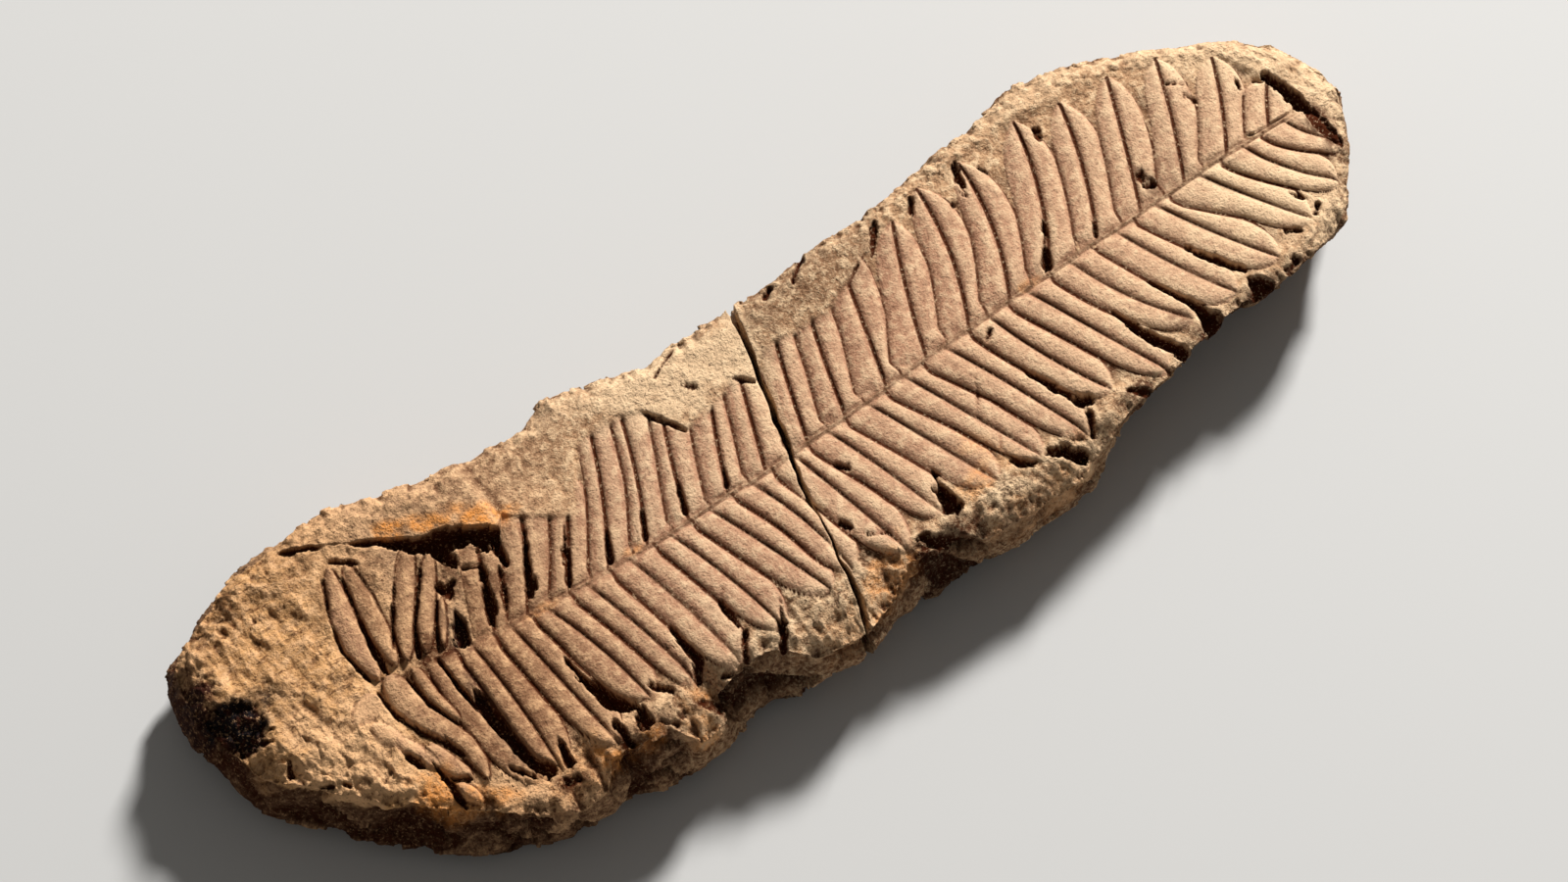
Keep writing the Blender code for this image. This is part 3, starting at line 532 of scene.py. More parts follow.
def chips(x, y, z, size, seed):
    """Broken facets about size across. A facet is what lies nearest to one random point of a lattice. Returns
    how far each place is from the ridges between facets, from 0 to 1; a random level, the same all over each
    facet; and a slant, which is the way from the facet's point times a random direction of its own."""
    points = np.random.default_rng(seed).uniform(0, 1, (CHIP_LATTICE,) * 3 + (7,))
    place = np.stack(np.broadcast_arrays(x, y, z), -1) / size
    cell = np.floor(place).astype(int)
    best = np.full(place.shape[:-1], 9.0)
    second = best.copy()
    level = np.zeros(best.shape)
    slant = np.zeros(best.shape)
    for step in np.ndindex(3, 3, 3):
        near = cell + np.array(step) - 1
        there = points[tuple(near[..., k] % CHIP_LATTICE for k in range(3))]
        offset = place - near - there[..., :3]
        distance = (offset**2).sum(-1)
        closer = distance < best
        second = np.where(closer, best, np.minimum(second, distance))
        level = np.where(closer, there[..., 3], level)
        slant = np.where(closer, (offset * (2 * there[..., 4:] - 1)).sum(-1), slant)
        best = np.minimum(best, distance)
    return np.clip(np.sqrt(second) - np.sqrt(best), 0, 1), level, slant


def stalk_y(x):
    """The stalk's line across the plan, read from the ribs."""
    points = np.array([rib[1] for rib in BUTT_RIBS[1:] + TIP_RIBS[-2:0:-1]], float)
    return np.interp(x, points[:, 0], points[:, 1])


def blob(x, y, spec):
    """How far inside an oval each point is, by (|u|^3 + |v|^3)^(1/3) along its own axes: below 1 inside, and
    1 on its edge. spec starts with the oval's centre x, y, half length, half width and turn."""
    cx, cy, half_long, half_wide, turn = spec[:5]
    cos, sin = np.cos(np.radians(turn)), np.sin(np.radians(turn))
    u = ((x - cx) * cos + (y - cy) * sin) / half_long
    v = (-(x - cx) * sin + (y - cy) * cos) / half_wide
    return (np.abs(u) ** 3 + np.abs(v) ** 3) ** (1 / 3)


def stain(x, y, spots, seed):
    """Soft ragged spots, from 0 to 1: the ovals' insides, with their edges pushed in and out by lumps."""
    ragged = 0.45 * rough(x, y, 0, 3.5, seed)
    total = np.zeros_like(x)
    for spec in spots:
        total = np.maximum(total, spec[5] * smooth(1.5, 0.5, blob(x, y, spec) + ragged))
    return total


def crossing(start, middle, tip, y):
    """Where a leaflet's line crosses each y: the parabola in y through three points. Also how much it leans
    there, as x over y, and the share of the way from its start to its tip."""
    share = (y - start[1]) / (tip[1] - start[1])
    u = np.clip(share, -0.1, 1.15)
    m = (middle[1] - start[1]) / (tip[1] - start[1])
    at_start, at_middle, at_tip = start[0] / m, middle[0] / (m * (m - 1)), tip[0] / (1 - m)
    x = at_start * (u - m) * (u - 1) + at_middle * u * (u - 1) + at_tip * u * (u - m)
    lean = at_start * (2 * u - m - 1) + at_middle * (2 * u - 1) + at_tip * (2 * u - m)
    return x, lean / (tip[1] - start[1]), share


def leaflet_row(x, y, leaflets, row):
    """Heights of one row's leaflets below their crests' plane, where there is leaflet at all, and how near
    each point is to a groove's or an edge's line of painted shade. row is how the row is shaped.
    Each lobe is a pillow between its outer edge and the leaflet's groove: (1 - |2f - 1|^2.7)^0.5, where f
    runs from the outer edge to the groove, over a foot that slopes from the one's depth to the other's. Past
    its middle a leaflet narrows to a blunt tip by (1 - t^p)^q, and bare stone shows beside it. The butt-side
    lobe starts lower by what is tucked, beside its neighbour, which covers the rest of it."""
    (p, q), (groove_depth, edge_depth), dirt_and_shade, tucked = row
    height = np.full_like(x, -STONE_DEPTH)
    on_leaf = np.zeros_like(x)
    line = np.zeros_like(x)
    shapes = []
    for base_x, mid_x, mid_y, tip_x, tip_y, edge_x, edge_y, edge_mid_x, edge_mid_y in leaflets:
        base = (base_x, float(stalk_y(base_x)))
        groove, lean, share = crossing(base, (mid_x, mid_y), (tip_x, tip_y), y)
        square = 1 / np.sqrt(1 + lean**2)
        middle = (mid_y - base[1]) / (tip_y - base[1])
        edge_ys = np.array([edge_y, edge_mid_y], float)
        widths = crossing(base, (mid_x, mid_y), (tip_x, tip_y), edge_ys)[0] - (edge_x, edge_mid_x)
        far = np.clip((y - edge_y) / (edge_mid_y - edge_y), 0, 1)
        width = np.clip(widths[0] + (widths[1] - widths[0]) * far, NARROWEST_LEAFLET, WIDEST_LEAFLET)
        length = np.hypot(tip_x - base_x, tip_y - base[1])
        slide = lean * np.sign(tip_y) * square / length
        reach = COVERED_REACH if tip_y > 0 and COVERED_X[0] < base_x < COVERED_X[1] else 1.0
        width = width * (0.8 + 0.2 * smooth(0, 0.12, share))
        shapes.append((groove, square, slide / reach, share / reach, middle, width))

    def narrow(share, middle):
        """1 as far as the leaflet's middle, and (1 - t^p)^q from there to its tip."""
        return (1 - np.clip((share - middle) / (1 - middle), 0, 1) ** p) ** q

    for k, (groove, square, slide, share, middle, width) in enumerate(shapes):
        off = x - groove
        down = share + off * slide
        narrowing = narrow(down, middle)
        butt_width = width * square * narrowing
        tip_width = WIDEST_LOBE * narrowing
        if k + 1 < len(shapes):
            next_groove, _, next_slide, next_share, next_middle, next_width = shapes[k + 1]
            next_edge = next_groove - next_width * narrow(next_share - next_width * next_slide, next_middle)
            room = np.where(next_share < 1, next_edge - groove, 99.0)
            tip_width = np.minimum(tip_width, np.maximum(room * square, 0.4))
        crest = 0.12 * np.sin(7.3 * k) - 0.9 * smooth(0.1, -0.02, share) - 0.6 * (1 - narrowing) ** 2
        for side, wide in ((-1, butt_width), (1, tip_width)):
            wide = np.maximum(wide, 0.01)
            away = side * off * square
            f = 1 - away / wide
            inside = (f > 0) & (f <= 1) & (down > -0.1) & (down < 1)
            f = np.clip(f, 0, 1)
            pillow = (1 - np.abs(2 * f - 1) ** PILLOW_POWER) ** 0.5
            foot = -edge_depth - (groove_depth - edge_depth) * f
            top = crest - (tucked * smooth(0.9, 0.0, f) if side < 0 else 0.0)
            lobe = foot + (top - foot) * pillow
            height = np.where(inside, np.maximum(lobe, height), height)
            on_leaf = np.where(inside, np.maximum(on_leaf, smooth(0.02, 0.55, pillow)), on_leaf)
            near_groove = dirt_and_shade[0] * smooth(0.75, 0.15, away)
            near_edge = dirt_and_shade[1 if side < 0 else 2] * smooth(0.7, 0.1, wide - away)
            near_edge = near_edge * smooth(0.4, 0.85, narrowing)
            line = np.where(inside, np.maximum(line, np.maximum(near_groove, near_edge)), line)
    return height, on_leaf, line


def strip(x, y, points):
    """Distance to a line through points (x, y, half width), and the strip's half width there. The half width
    changes evenly between the points, and is drawn in at both ends by (1 - |2s - 1|^7)^0.5, where s runs
    along the line from 0 to 1."""
    runs = [np.hypot(bx - ax, by - ay) for (ax, ay, _), (bx, by, _) in zip(points[:-1], points[1:])]
    distance = np.full(np.shape(x), 1e3)
    width = np.zeros(np.shape(x))
    passed = 0.0
    for (ax, ay, a_wide), (bx, by, b_wide), run in zip(points[:-1], points[1:], runs):
        ux, uy = (bx - ax) / run, (by - ay) / run
        u = (x - ax) * ux + (y - ay) * uy
        v = (y - ay) * ux - (x - ax) * uy
        beside = np.clip(u, 0, run)
        s = (passed + beside) / sum(runs)
        wide = (a_wide + (b_wide - a_wide) * beside / run) * np.sqrt(1 - np.abs(2 * s - 1) ** 7)
        away = np.hypot(u - beside, v)
        nearer = away - wide < distance - width
        distance, width = np.where(nearer, away, distance), np.where(nearer, wide, width)
        passed += run
    return distance, width


def loose_lobes(x, y):
    """Heights of the loose lobes, and their outlines of painted shade. Across a lobe the height is its
    edge's, plus its rise times (1 - (d / w)^2)^0.5, for d from its line and its half width w."""
    height = np.full_like(x, NO_LOBE)
    line = np.zeros_like(x)
    for points in LOOSE_LOBES:
        distance, width = strip(x, y, points)
        dome = np.sqrt(np.clip(1 - (distance / np.maximum(width, 0.01)) ** 2, 0, 1))
        height = np.where(dome > 0, np.maximum(height, LOOSE_EDGE + LOOSE_RISE * dome), height)
        line = np.maximum(line, smooth(0.6, 0.1, np.abs(distance - width)))
    return height, line


def tip_line(leaflets, x):
    """y of the line through the leaflets' tips."""
    tips = np.array([leaflet[3:5] for leaflet in leaflets], float)
    return np.interp(x, tips[:, 0], tips[:, 1])


def top_face(x, y, edge):
    """Height of the top face over the plan, and its marks: the share of leaflet, of groove line, of stalk, of
    sand and of hollow at each point. edge is the distance in from the rim. The height is the frond's plane,
    plus the relief that the steps below build up one over the other, less what is worn off at the rim and
    at the crack."""
    upper = y > stalk_y(x)
    rows = (leaflet_row(x, y, UPPER_LEAFLETS, UPPER_ROW), leaflet_row(x, y, LOWER_LEAFLETS, LOWER_ROW))
    relief, leaf, line = (np.where(upper, a, b) for a, b in zip(*rows))
    loose, outline = loose_lobes(x, y)
    is_loose = (loose > NO_LOBE) & (loose > relief)
    relief, leaf = np.where(is_loose, loose, relief), np.where(is_loose, 0.8, leaf)
    line = np.maximum(line * ~is_loose, 0.8 * outline)

    # Bare stone past the leaflets' tips: lumps and levelled facets, sandier away from the frond. Between the
    # leaflets it also fills the grooves up, more and more towards the tips.
    past_tips = np.where(upper, y - tip_line(UPPER_LEAFLETS, x), tip_line(LOWER_LEAFLETS, x) - y)
    past_tips = np.maximum(past_tips, FROND_END[0] - x - FROND_END[1] * np.abs(y))
    grit = smooth(-1, 4, past_tips)
    chip_depth, chip_level, _ = chips(x, y, 0, 3.6, 22)
    stone = -STONE_DEPTH * smooth(3, -2, past_tips) + 0.5 * (chip_level - 0.5) * (0.3 + 0.7 * grit)
    stone = stone + (0.28 + 0.22 * grit) * rough(x, y, 0, 4, 21, 4)
    filled = relief + 0.2 + 1.2 * smooth(-8, -3, past_tips)
    relief = np.where(leaf > 0, np.maximum(relief, np.minimum(stone - 0.4, filled)), stone)
    relief = relief + leaf * 0.14 * rough(x, y, 0, 8, 25)

    # The stone that still covers the frond stands one step higher, behind a ragged front edge.
    ragged_y = along(COVER_EDGE, x, 1) + 0.5 * rough(x, y, 0, 5, 31)
    soft = 0.5 + 1.1 * smooth(*SOFT_COVER_X, x)
    cover = smooth(-soft, 0.5, y - ragged_y) * upper
    step = along(COVER_EDGE, x, 2) * (0.86 + 0.14 * smooth(0, 6, y - ragged_y))
    cover_face = step - 0.2 * chip_depth + 0.25 * rough(x, y, 0, 7, 34, 4)
    relief = relief * (1 - cover) + cover_face * cover
    leaf = leaf * (1 - cover)
    line = line * (1 - cover)

    # The stalk is a channel with a bead along its middle, which is 1 - (d / w)^2 across.
    from_stalk = np.abs(y - stalk_y(x) - 0.25 * lumps(x, 0, 0, 6, 41))
    has_stalk = smooth(STALK_X[0] - 2, STALK_X[0] + 4, x) * smooth(STALK_X[1] + 2, STALK_X[1] - 6, x)
    has_stalk = has_stalk * (0.5 + 0.5 * smooth(*FAINT_STALK_X, x))
    channel = smooth(STALK_CHANNEL, STALK_HALF, from_stalk) * has_stalk
    bead = 0.45 * np.clip(1 - (from_stalk / STALK_HALF) ** 2, 0, 1)
    relief = relief - channel * (relief + STALK_DEPTH - bead)

    # Hollows: the socket, the cave under the cover's front edge, and the gashes. The deepest counts. Their
    # edges are ragged and their floors uneven, by facets.
    _, block, _ = chips(x, y, 0, 4.2, 51)
    _, corner, _ = chips(x, y, 0, 2.4, 53)
    ragged = 0.2 * rough(x, y, 0, 2.6, 52) + 0.9 * (corner - 0.5)
    depth = SOCKET[5] * smooth(1.15, 0.7, blob(x, y, SOCKET) + 0.5 * ragged) * (0.6 + 0.6 * block)
    before = ragged_y - y
    reach = along(COVER_CAVE, x, 1) * (1 + 0.5 * (corner - 0.5) + 0.25 * rough(x, y, 0, 4, 36))
    cave = along(COVER_CAVE, x, 2) * smooth(-0.7, 0.0, before) * smooth(reach, reach - 0.6, before)
    depth = np.maximum(depth, cave * (0.8 + 0.3 * block) * upper)
    for deep, *points in GASHES:
        near = np.flatnonzero(np.abs(x - points[0][0]).ravel() < GASH_REACH)
        gap = np.full(x.size, 1e3)
        distance, width = strip(x.ravel()[near], y.ravel()[near], points)
        gap[near] = distance - width
        wall = 0.25 + 0.10 * deep
        uneven = min(1.0, points[1][2]) * ragged + 0.9 * max(points[1][2] - 1, 0) * (block - 0.5)
        inside = smooth(0.5 * wall, -1.2 * wall, gap.reshape(x.shape) + uneven)
        depth = np.maximum(depth, deep * inside * (0.8 + 0.3 * block))
    relief = relief - depth

    # Bare stone at the butt end: broad lumps, slanting facets, and streaks that are lumps drawn out along
    # them. A slow swell runs over the whole face.
    butt = smooth(*BUTT_X, x)
    cos, sin = STREAK_ACROSS
    streaks = 0.5 * rough(0.3 * (cos * y - sin * x), cos * x + sin * y, 0, 3, 63, 3)
    _, _, slant = chips(x, y, 0, 7, 61)
    relief = relief + butt * (0.7 * rough(x, y, 0, 16, 62, 2) + (1 - 0.8 * leaf) * (streaks + 0.6 * slant))
    relief = relief + 0.5 * lumps(x, y, 0, 24, 7)

    # The rim is worn round by its drop times (1 - edge / round_r)^p, and chipped. The crack's edges are worn
    # by an amount that fades away from it.
    round_r, drop = (np.where(upper, along(UPPER_SIDE, x, k), along(LOWER_SIDE, x, k)) for k in (4, 5))
    worn = drop * (1 - np.clip(edge / round_r, 0, 1)) ** np.where(upper, 2.0, 1.4)
    worn = worn + smooth(3.5, 0, edge) * (0.3 + 0.7 * rough(x, y, 0, 4, 71) + 1.0 * chip_level)
    rim_chips = corner - 0.5 + rough(x, y, 0, 1.6, 72, 2)
    worn = worn + 0.35 * smooth(round_r + 1, round_r - 2, edge) * rim_chips
    rim_grit = np.maximum(grit, smooth(round_r + 2, round_r - 2, edge)) * (1 - 0.7 * butt)
    cover_grit = 0.6 * cover * smooth(*SANDY_COVER_X[:2], x) * smooth(*SANDY_COVER_X[2:], x)
    from_crack = np.abs(x - crack_x(y, CRACK_HEIGHT))
    crack_wear = CRACK_EDGE * np.exp(-from_crack / CRACK_WEAR) * (1 + lumps(x, y, 0, 4, 73))
    z = along(FROND_PLANE, x, 1) + relief - worn - crack_wear
    marks = {
        "leaf": leaf * (1 - smooth(0.3, 1.0, depth)),
        "line": line * (1 - butt),
        "stalk": channel,
        "grit": np.where(upper, cover_grit, rim_grit) * (1 - leaf),
        # hollow lays painted shade over the gashes, pits, socket and the cave under the cover
        "hollow": smooth(0.2, 1.2, depth),
    }
    return z, marks


def crack_x(y, z):
    """The crack's middle: its line in the plan, made jagged, and leaning a little with depth."""
    jagged = 0.45 * rough(0, y, z, 5, 81) + 0.2 * lumps(0, y, z, 1.6, 84)
    return along(CRACK, y, 1) + jagged + CRACK_LEAN * (z - CRACK_HEIGHT)


def crack_wall(y, z, to_crack):
    """x of one block's side of the crack: its middle, less half the gap."""
    return crack_x(y, z) - to_crack * CRACK_GAPE * along(CRACK, y, 2) / 2


def crowded(share):
    """Shares from 0 to 1 that crowd together at both ends: q - c sin(2 pi q) / (2 pi)."""
    return share - CROWDING * np.sin(2 * np.pi * share) / (2 * np.pi)


def steps_round():
    """Once round a block's section: the stretch that each step is on, and how far along it the step is."""
    counts = (("top", sum(TOP_STEPS)), ("upper", WALL_STEPS), ("base", BASE_STEPS), ("lower", WALL_STEPS))
    names = [name for name, steps in counts for _ in range(steps)] + ["lower"]
    parts = [k / steps for _, steps in counts for k in range(steps)] + [1.0]
    return np.array(names), np.array(parts)


def top_steps(stalk, rim):
    """How far across the top each step lies, from 0 at the lower rim over 0.5 at the stalk to 1 at the upper
    rim, for each rib. One step runs along the cover's front edge, which each rib crosses at its own share:
    that share is found by stepping half of the way to it, over and over."""
    share = np.full(len(stalk), 0.5)
    for _ in range(6):
        x, y = (stalk[:, k] + (rim[:, k] - stalk[:, k]) * share for k in (0, 1))
        wanted = (along(COVER_EDGE, x, 1) - stalk[:, 1]) / np.maximum(rim[:, 1] - stalk[:, 1], 1)
        share = np.clip(0.5 * share + 0.5 * wanted, 0.3, 0.85)
    share = share[:, None]
    below, before, behind = (crowded(np.arange(steps) / steps)[None, :] for steps in TOP_STEPS)
    upper = np.concatenate([share * before, share + (1 - share) * behind], 1)
    return np.concatenate([below / 2 + 0 * share, 0.5 + upper / 2], 1)


def even_ribs(ribs):
    """The three curves through the ribs' points, with stations evenly spaced along the slab."""
    fine = np.linspace(0, 1, FINE)
    curves = [spline([rib[k] for rib in ribs], fine) for k in range(3)]
    steps = sum(np.linalg.norm(np.diff(curve, axis=0), axis=1) for curve in curves)
    length = np.concatenate([[0], np.cumsum(steps)])
    t = np.interp(np.linspace(0, 1, STATIONS + 1), length / length[-1], fine)
    return [spline([rib[k] for rib in ribs], t) for k in range(3)]


def rim_distance(rim, x, y):
    """Distance in the plan from each point to the nearest point of the rim."""
    best = np.full(np.shape(x), np.inf)
    for px, py in rim[::3]:
        best = np.minimum(best, (x - px) ** 2 + (y - py) ** 2)
    return np.sqrt(best)


def side_wall(bulge, inward, table, faces, rim_z, down):
    """One side of a block: points at the share down of the way from its rim to its foot, and how dark each
    is. It is widest at wide_z, and stands in above and below. Bedding layers stand out by different amounts,
    slanting facets are broken off it, and its broken faces are hollowed in between a ragged brow and a ragged
    ledge. A rugged side has more stock for them. Its darkness is painted shade, by the faces table, low down
    and where it lies back, with a random tone for each facet."""
    z = rim_z[:, None] * (1 - down[None, :])
    top_in, foot_in, wide_z, rugged = (along(table, bulge[:, 0], k)[:, None] for k in (1, 2, 3, 6))
    above = np.clip((z - wide_z) / (rim_z[:, None] - wide_z), 0, 1)
    below = np.clip((wide_z - z) / wide_z, 0, 1)
    stand_in = top_in * above**1.6 + foot_in * below**2
    x, y = (bulge[:, k][:, None] + inward[:, k][:, None] * stand_in for k in (0, 1))
    shifted = x + 4.5 * rough(x, y, z, 9, 97) + 0.6 * (z - 14)
    hollow, dark = (along(faces, shifted, k) for k in (1, 2))
    brow = 0.16 + 0.10 * rough(x, y, 0, 8, 98)
    ledge = 0.62 + 0.22 * rough(x, y, 0, 10, 99)
    hollow = hollow * smooth(brow - 0.07, brow + 0.03, down) * smooth(ledge + 0.12, ledge - 0.04, down)
    layer = (z + 2.0 * rough(x, y, 0, 30, 91)) / 5.2
    within = smooth(0.0, 0.25, layer - np.floor(layer))
    stands = [lumps(x, y, np.floor(layer) - k, 14, 92) for k in (1, 0)]
    bedding = stands[0] * (1 - within) + stands[1] * within
    _, big, big_slant = chips(x, y, 1.5 * z, 15, 94)
    _, small, small_slant = chips(x, y, 1.6 * z, 6, 95)
    facets = 0.9 * bedding + 1.7 * (big - 0.5) + 3.0 * big_slant + 0.7 * (small - 0.5) + 1.5 * small_slant
    stock = 0.6 + 1.4 * rugged
    broken = np.maximum(stock + hollow + rugged * facets, 0) + 0.35 * (1 + rough(x, y, z, 2.5, 96))
    broken = broken * smooth(0, 0.1, down) * (0.35 + 0.65 * smooth(1, 0.85, down))
    wall = np.stack([x + inward[:, 0][:, None] * broken, y + inward[:, 1][:, None] * broken, z], -1)
    recess = np.clip((broken - nearby(broken, 12, 3)) / 1.2, -1, 1)
    tone = 0.5 * (big - 0.5) + 0.35 * (small - 0.5) + 0.25 * smooth(0.6, 1, down)
    return wall, np.clip(0.85 * dark + tone + 0.35 * recess, 0, 1)


def rim_lines(curves, ways):
    """The lines along a block at its top edge and at its foot: lower, stalk and upper. The outer two stand in
    from the widest outline by the side's table, and the top edge is jagged by lumps and facets as well. The
    stalk's line runs into the lower one at the block's end."""
    lower, stalk, upper = curves
    near_end = np.clip(1 - np.linspace(0, 1, STATIONS + 1) / END_SHARE, 0, 1)[:, None] ** 2
    lines = {}
    for layer, column, ragged in (("top", 1, 1.0), ("foot", 2, 0.0)):
        edges = []
        for line, way, table in ((lower, ways[0], LOWER_SIDE), (upper, ways[1], UPPER_SIDE)):
            _, level, _ = chips(line[:, 0], line[:, 1], 0, 6, 102)
            jagged = rough(line[:, 0], line[:, 1], 0, 7, 101) + 1.2 * (level - 0.5)
            inset = along(table, line[:, 0], column) + ragged * along(table, line[:, 0], 6) * jagged
            edges.append(line + way * inset[:, None])
        low, high = edges
        lines[layer] = (low, stalk + (low[0] - stalk[0]) * near_end, high)
    return lines


def across(lines, share):
    """Points at a share of the way across, from the lower line over the stalk's at 0.5 to the upper one."""
    low, middle, high = (line[:, None, :] for line in lines)
    w = share[..., None]
    return np.where(w < 0.5, low + (middle - low) * 2 * w, middle + (high - middle) * (2 * w - 1))


def crack_face(face, to_crack):
    """Rings of points that close the broken face: its outline, shrunk evenly to its middle and laid on the
    crack."""
    centre = np.array([0, (face[:, 1].min() + face[:, 1].max()) / 2, face[:, 2].max() / 2])
    rings = []
    for ring in range(1, CAP_RINGS + 1):
        shrunk = centre + (face - centre) * (1 - ring / CAP_RINGS)
        shrunk[:, 0] = crack_wall(shrunk[:, 1], shrunk[:, 2], to_crack)
        rings.append(shrunk)
    return np.array(rings)


def block_surface(ribs, to_crack):
    """The block's surface as a grid of points: along it from its end to the crack, and round its section,
    with the broken face closed by rings. to_crack is the way along X to the crack, 1 or -1. Also the marks at
    each point."""
    lower, stalk, upper = even_ribs(ribs)
    outline = np.concatenate([lower[::-1], upper[1:]])
    run = np.gradient(outline, axis=0)
    inward = np.stack([-run[:, 1], run[:, 0]], 1) / np.linalg.norm(run, axis=1)[:, None] * -to_crack
    inward_lower, inward_upper = inward[STATIONS::-1], inward[STATIONS:]
    lines = rim_lines((lower, stalk, upper), (inward_lower, inward_upper))
    rim_low, rim_stalk, rim_high = lines["top"]

    names, parts = steps_round()
    on_top, on_base = names == "top", names == "base"
    points = np.zeros((STATIONS + 1, len(names), 3))
    near_top = np.zeros(points.shape[:2])
    mark_names = ("leaf", "line", "stalk", "grit", "hollow", "broken", "shade")
    marks = {name: np.zeros(points.shape[:2]) for name in mark_names}
    points[:, on_top, :2] = across(lines["top"], top_steps(rim_stalk, rim_high))
    points[:, on_base, :2] = across(lines["foot"], 1 - parts[None, on_base])
    share = np.linspace(0, 1, STATIONS + 1)
    pull = (np.clip((share - 1 + CRACK_SHARE) / CRACK_SHARE, 0, 1) ** 2)[:, None]

    def to_the_crack(xy, z):
        """x of points whose ribs are bent on to the crack, less and less away from it."""
        last = points[-1, on_top, :2]
        order = np.argsort(last[:, 1])
        straight = np.interp(xy[..., 1], last[order, 1], last[order, 0])
        return xy[..., 0] + pull * (crack_wall(xy[..., 1], z, to_crack) - straight)

    top_x = to_the_crack(points[:, on_top, :2], FROND_PLANE[3][1])
    top_y = points[:, on_top, 1]
    edge = rim_distance(np.concatenate([rim_low, rim_high]), top_x, top_y)
    points[:, on_top, 2], top_marks = top_face(top_x, top_y, edge)
    for name, values in top_marks.items():
        marks[name][:, on_top] = values
    near_top[:, on_top] = 1

    # The sides start at the rim, which for the upper one is worked out afresh, and blend on to it.
    rim_z = {"upper": top_face(rim_high[:, 0], rim_high[:, 1], 0 * share)[0], "lower": points[:, 0, 2]}
    sides = (
        ("upper", rim_high, 0, parts, (upper, inward_upper, UPPER_SIDE, UPPER_FACES)),
        ("lower", rim_low, -1, 1 - parts, (lower, inward_lower, LOWER_SIDE, LOWER_FACES)),
    )
    for name, rim, first, shares, side in sides:
        here = names == name
        down = shares[here]
        wall, marks["shade"][:, here] = side_wall(*side, rim_z[name], down)
        offset = rim[:, None, :] - wall[:, [first], :2]
        wall[..., :2] += offset * smooth(0.25, 0, down)[None, :, None]
        points[:, here] = wall
        down = down[None, :] + 0.12 * rough(wall[..., 0], wall[..., 1], wall[..., 2], 5, 105)
        marks["broken"][:, here] = smooth(0.02, 0.22, down)
        at_butt = smooth(*LOW_STAINS_X, wall[..., 0])
        near_top[:, here] = smooth(0.4 + 0.5 * at_butt, 0.05 + 0.4 * at_butt, down)
    points[:, ~on_top, 0] = to_the_crack(points[:, ~on_top, :2], points[:, ~on_top, 2])
    points[:, on_top, 0] = top_x
    marks["broken"][:, on_base] = 1.0
    marks["shade"][:, on_base] = HIDDEN_SHADE

    # Nothing is left open: the last point round is the first, and the end rib's sides meet halfway.
    points[:, -1] = points[:, 0]
    facing = points[0, ~on_top]
    points[0, ~on_top] = (facing + facing[::-1]) / 2
    points[0, on_top] = points[0, -1]
    points[0, on_base] = points[0, on_base][0]

    points = np.concatenate([points, crack_face(points[-1], to_crack)])
    for name, values in marks.items():
        cap = np.full((CAP_RINGS, len(names)), {"broken": 1.0, "shade": HIDDEN_SHADE}.get(name, 0.0))
        marks[name] = np.concatenate([values, cap])
    near_top = np.concatenate([near_top, np.zeros((CAP_RINGS, len(names)))])
    marks["cavity"] = cavity(points, on_top)
    for seed, (name, spots) in enumerate((("rust_and_warm_light", RUST_AND_WARM_LIGHT), ("pale", PALE), ("dirt_and_shade", DIRT_AND_SHADE), ("black_spots_and_shade", BLACK_SPOTS_AND_SHADE))):
        marks[name] = near_top * stain(points[..., 0], points[..., 1], spots, 111 + seed)
    return points, marks


def nearby(values, stations, steps):
    """Average of a grid's values over so many stations and steps each way. Past an edge its value counts."""
    for axis, reach, stride in ((0, stations, 2), (1, steps, 1)):
        order = np.arange(values.shape[axis])
        shifts = range(-reach, reach + 1, stride)
        values = sum(np.take(values, np.clip(order + k, 0, order[-1]), axis) for k in shifts) / len(shifts)
    return values


def cavity(points, on_top):
    """How deep each point of the top lies below the average height around it, from 0 to 1, and how proud it
    stands as a negative number. The first ribs, which run together at the block's end, count as level."""
    z = points[:, on_top, 2]
    deep = np.zeros(points.shape[:2])
    deep[:, on_top] = np.clip((nearby(z, 6, 2) - z) / 0.8, -1, 1)
    deep[:8] = 0
    return deep


def block_mesh(name, ribs, to_crack):
    """The grid of points as one closed mesh: quads between neighbouring points, with seams and poles merged,
    and the faces turned outwards. No point leaves the solids' box."""
    points, marks = block_surface(ribs, to_crack)
    low, high = (np.array(corner) / MM for corner in CAD_BOX)
    points = np.clip(points, low, high)
    rows, columns = points.shape[:2]
    index = np.arange(rows * columns).reshape(rows, columns)
    corners = (index[:-1, :-1], index[1:, :-1], index[1:, 1:], index[:-1, 1:])
    faces = np.stack([c.ravel() for c in corners], 1)
    mesh = bpy.data.meshes.new(name)
    mesh.from_pydata((points.reshape(-1, 3) * MM).tolist(), [], faces.tolist())
    for mark, values in marks.items():
        attribute = mesh.attributes.new(mark, "FLOAT", "POINT")
        attribute.data.foreach_set("value", values.ravel().astype(np.float32))
    bm = bmesh.new()
    bm.from_mesh(mesh)
    bmesh.ops.remove_doubles(bm, verts=bm.verts, dist=MERGE)
    bmesh.ops.dissolve_degenerate(bm, edges=bm.edges, dist=FLATTEN)
    bmesh.ops.recalc_face_normals(bm, faces=bm.faces)
    if bm.calc_volume(signed=True) < 0:
        bmesh.ops.reverse_faces(bm, faces=bm.faces)
    bm.to_mesh(mesh)
    bm.free()
    mesh.shade_smooth()
    return mesh


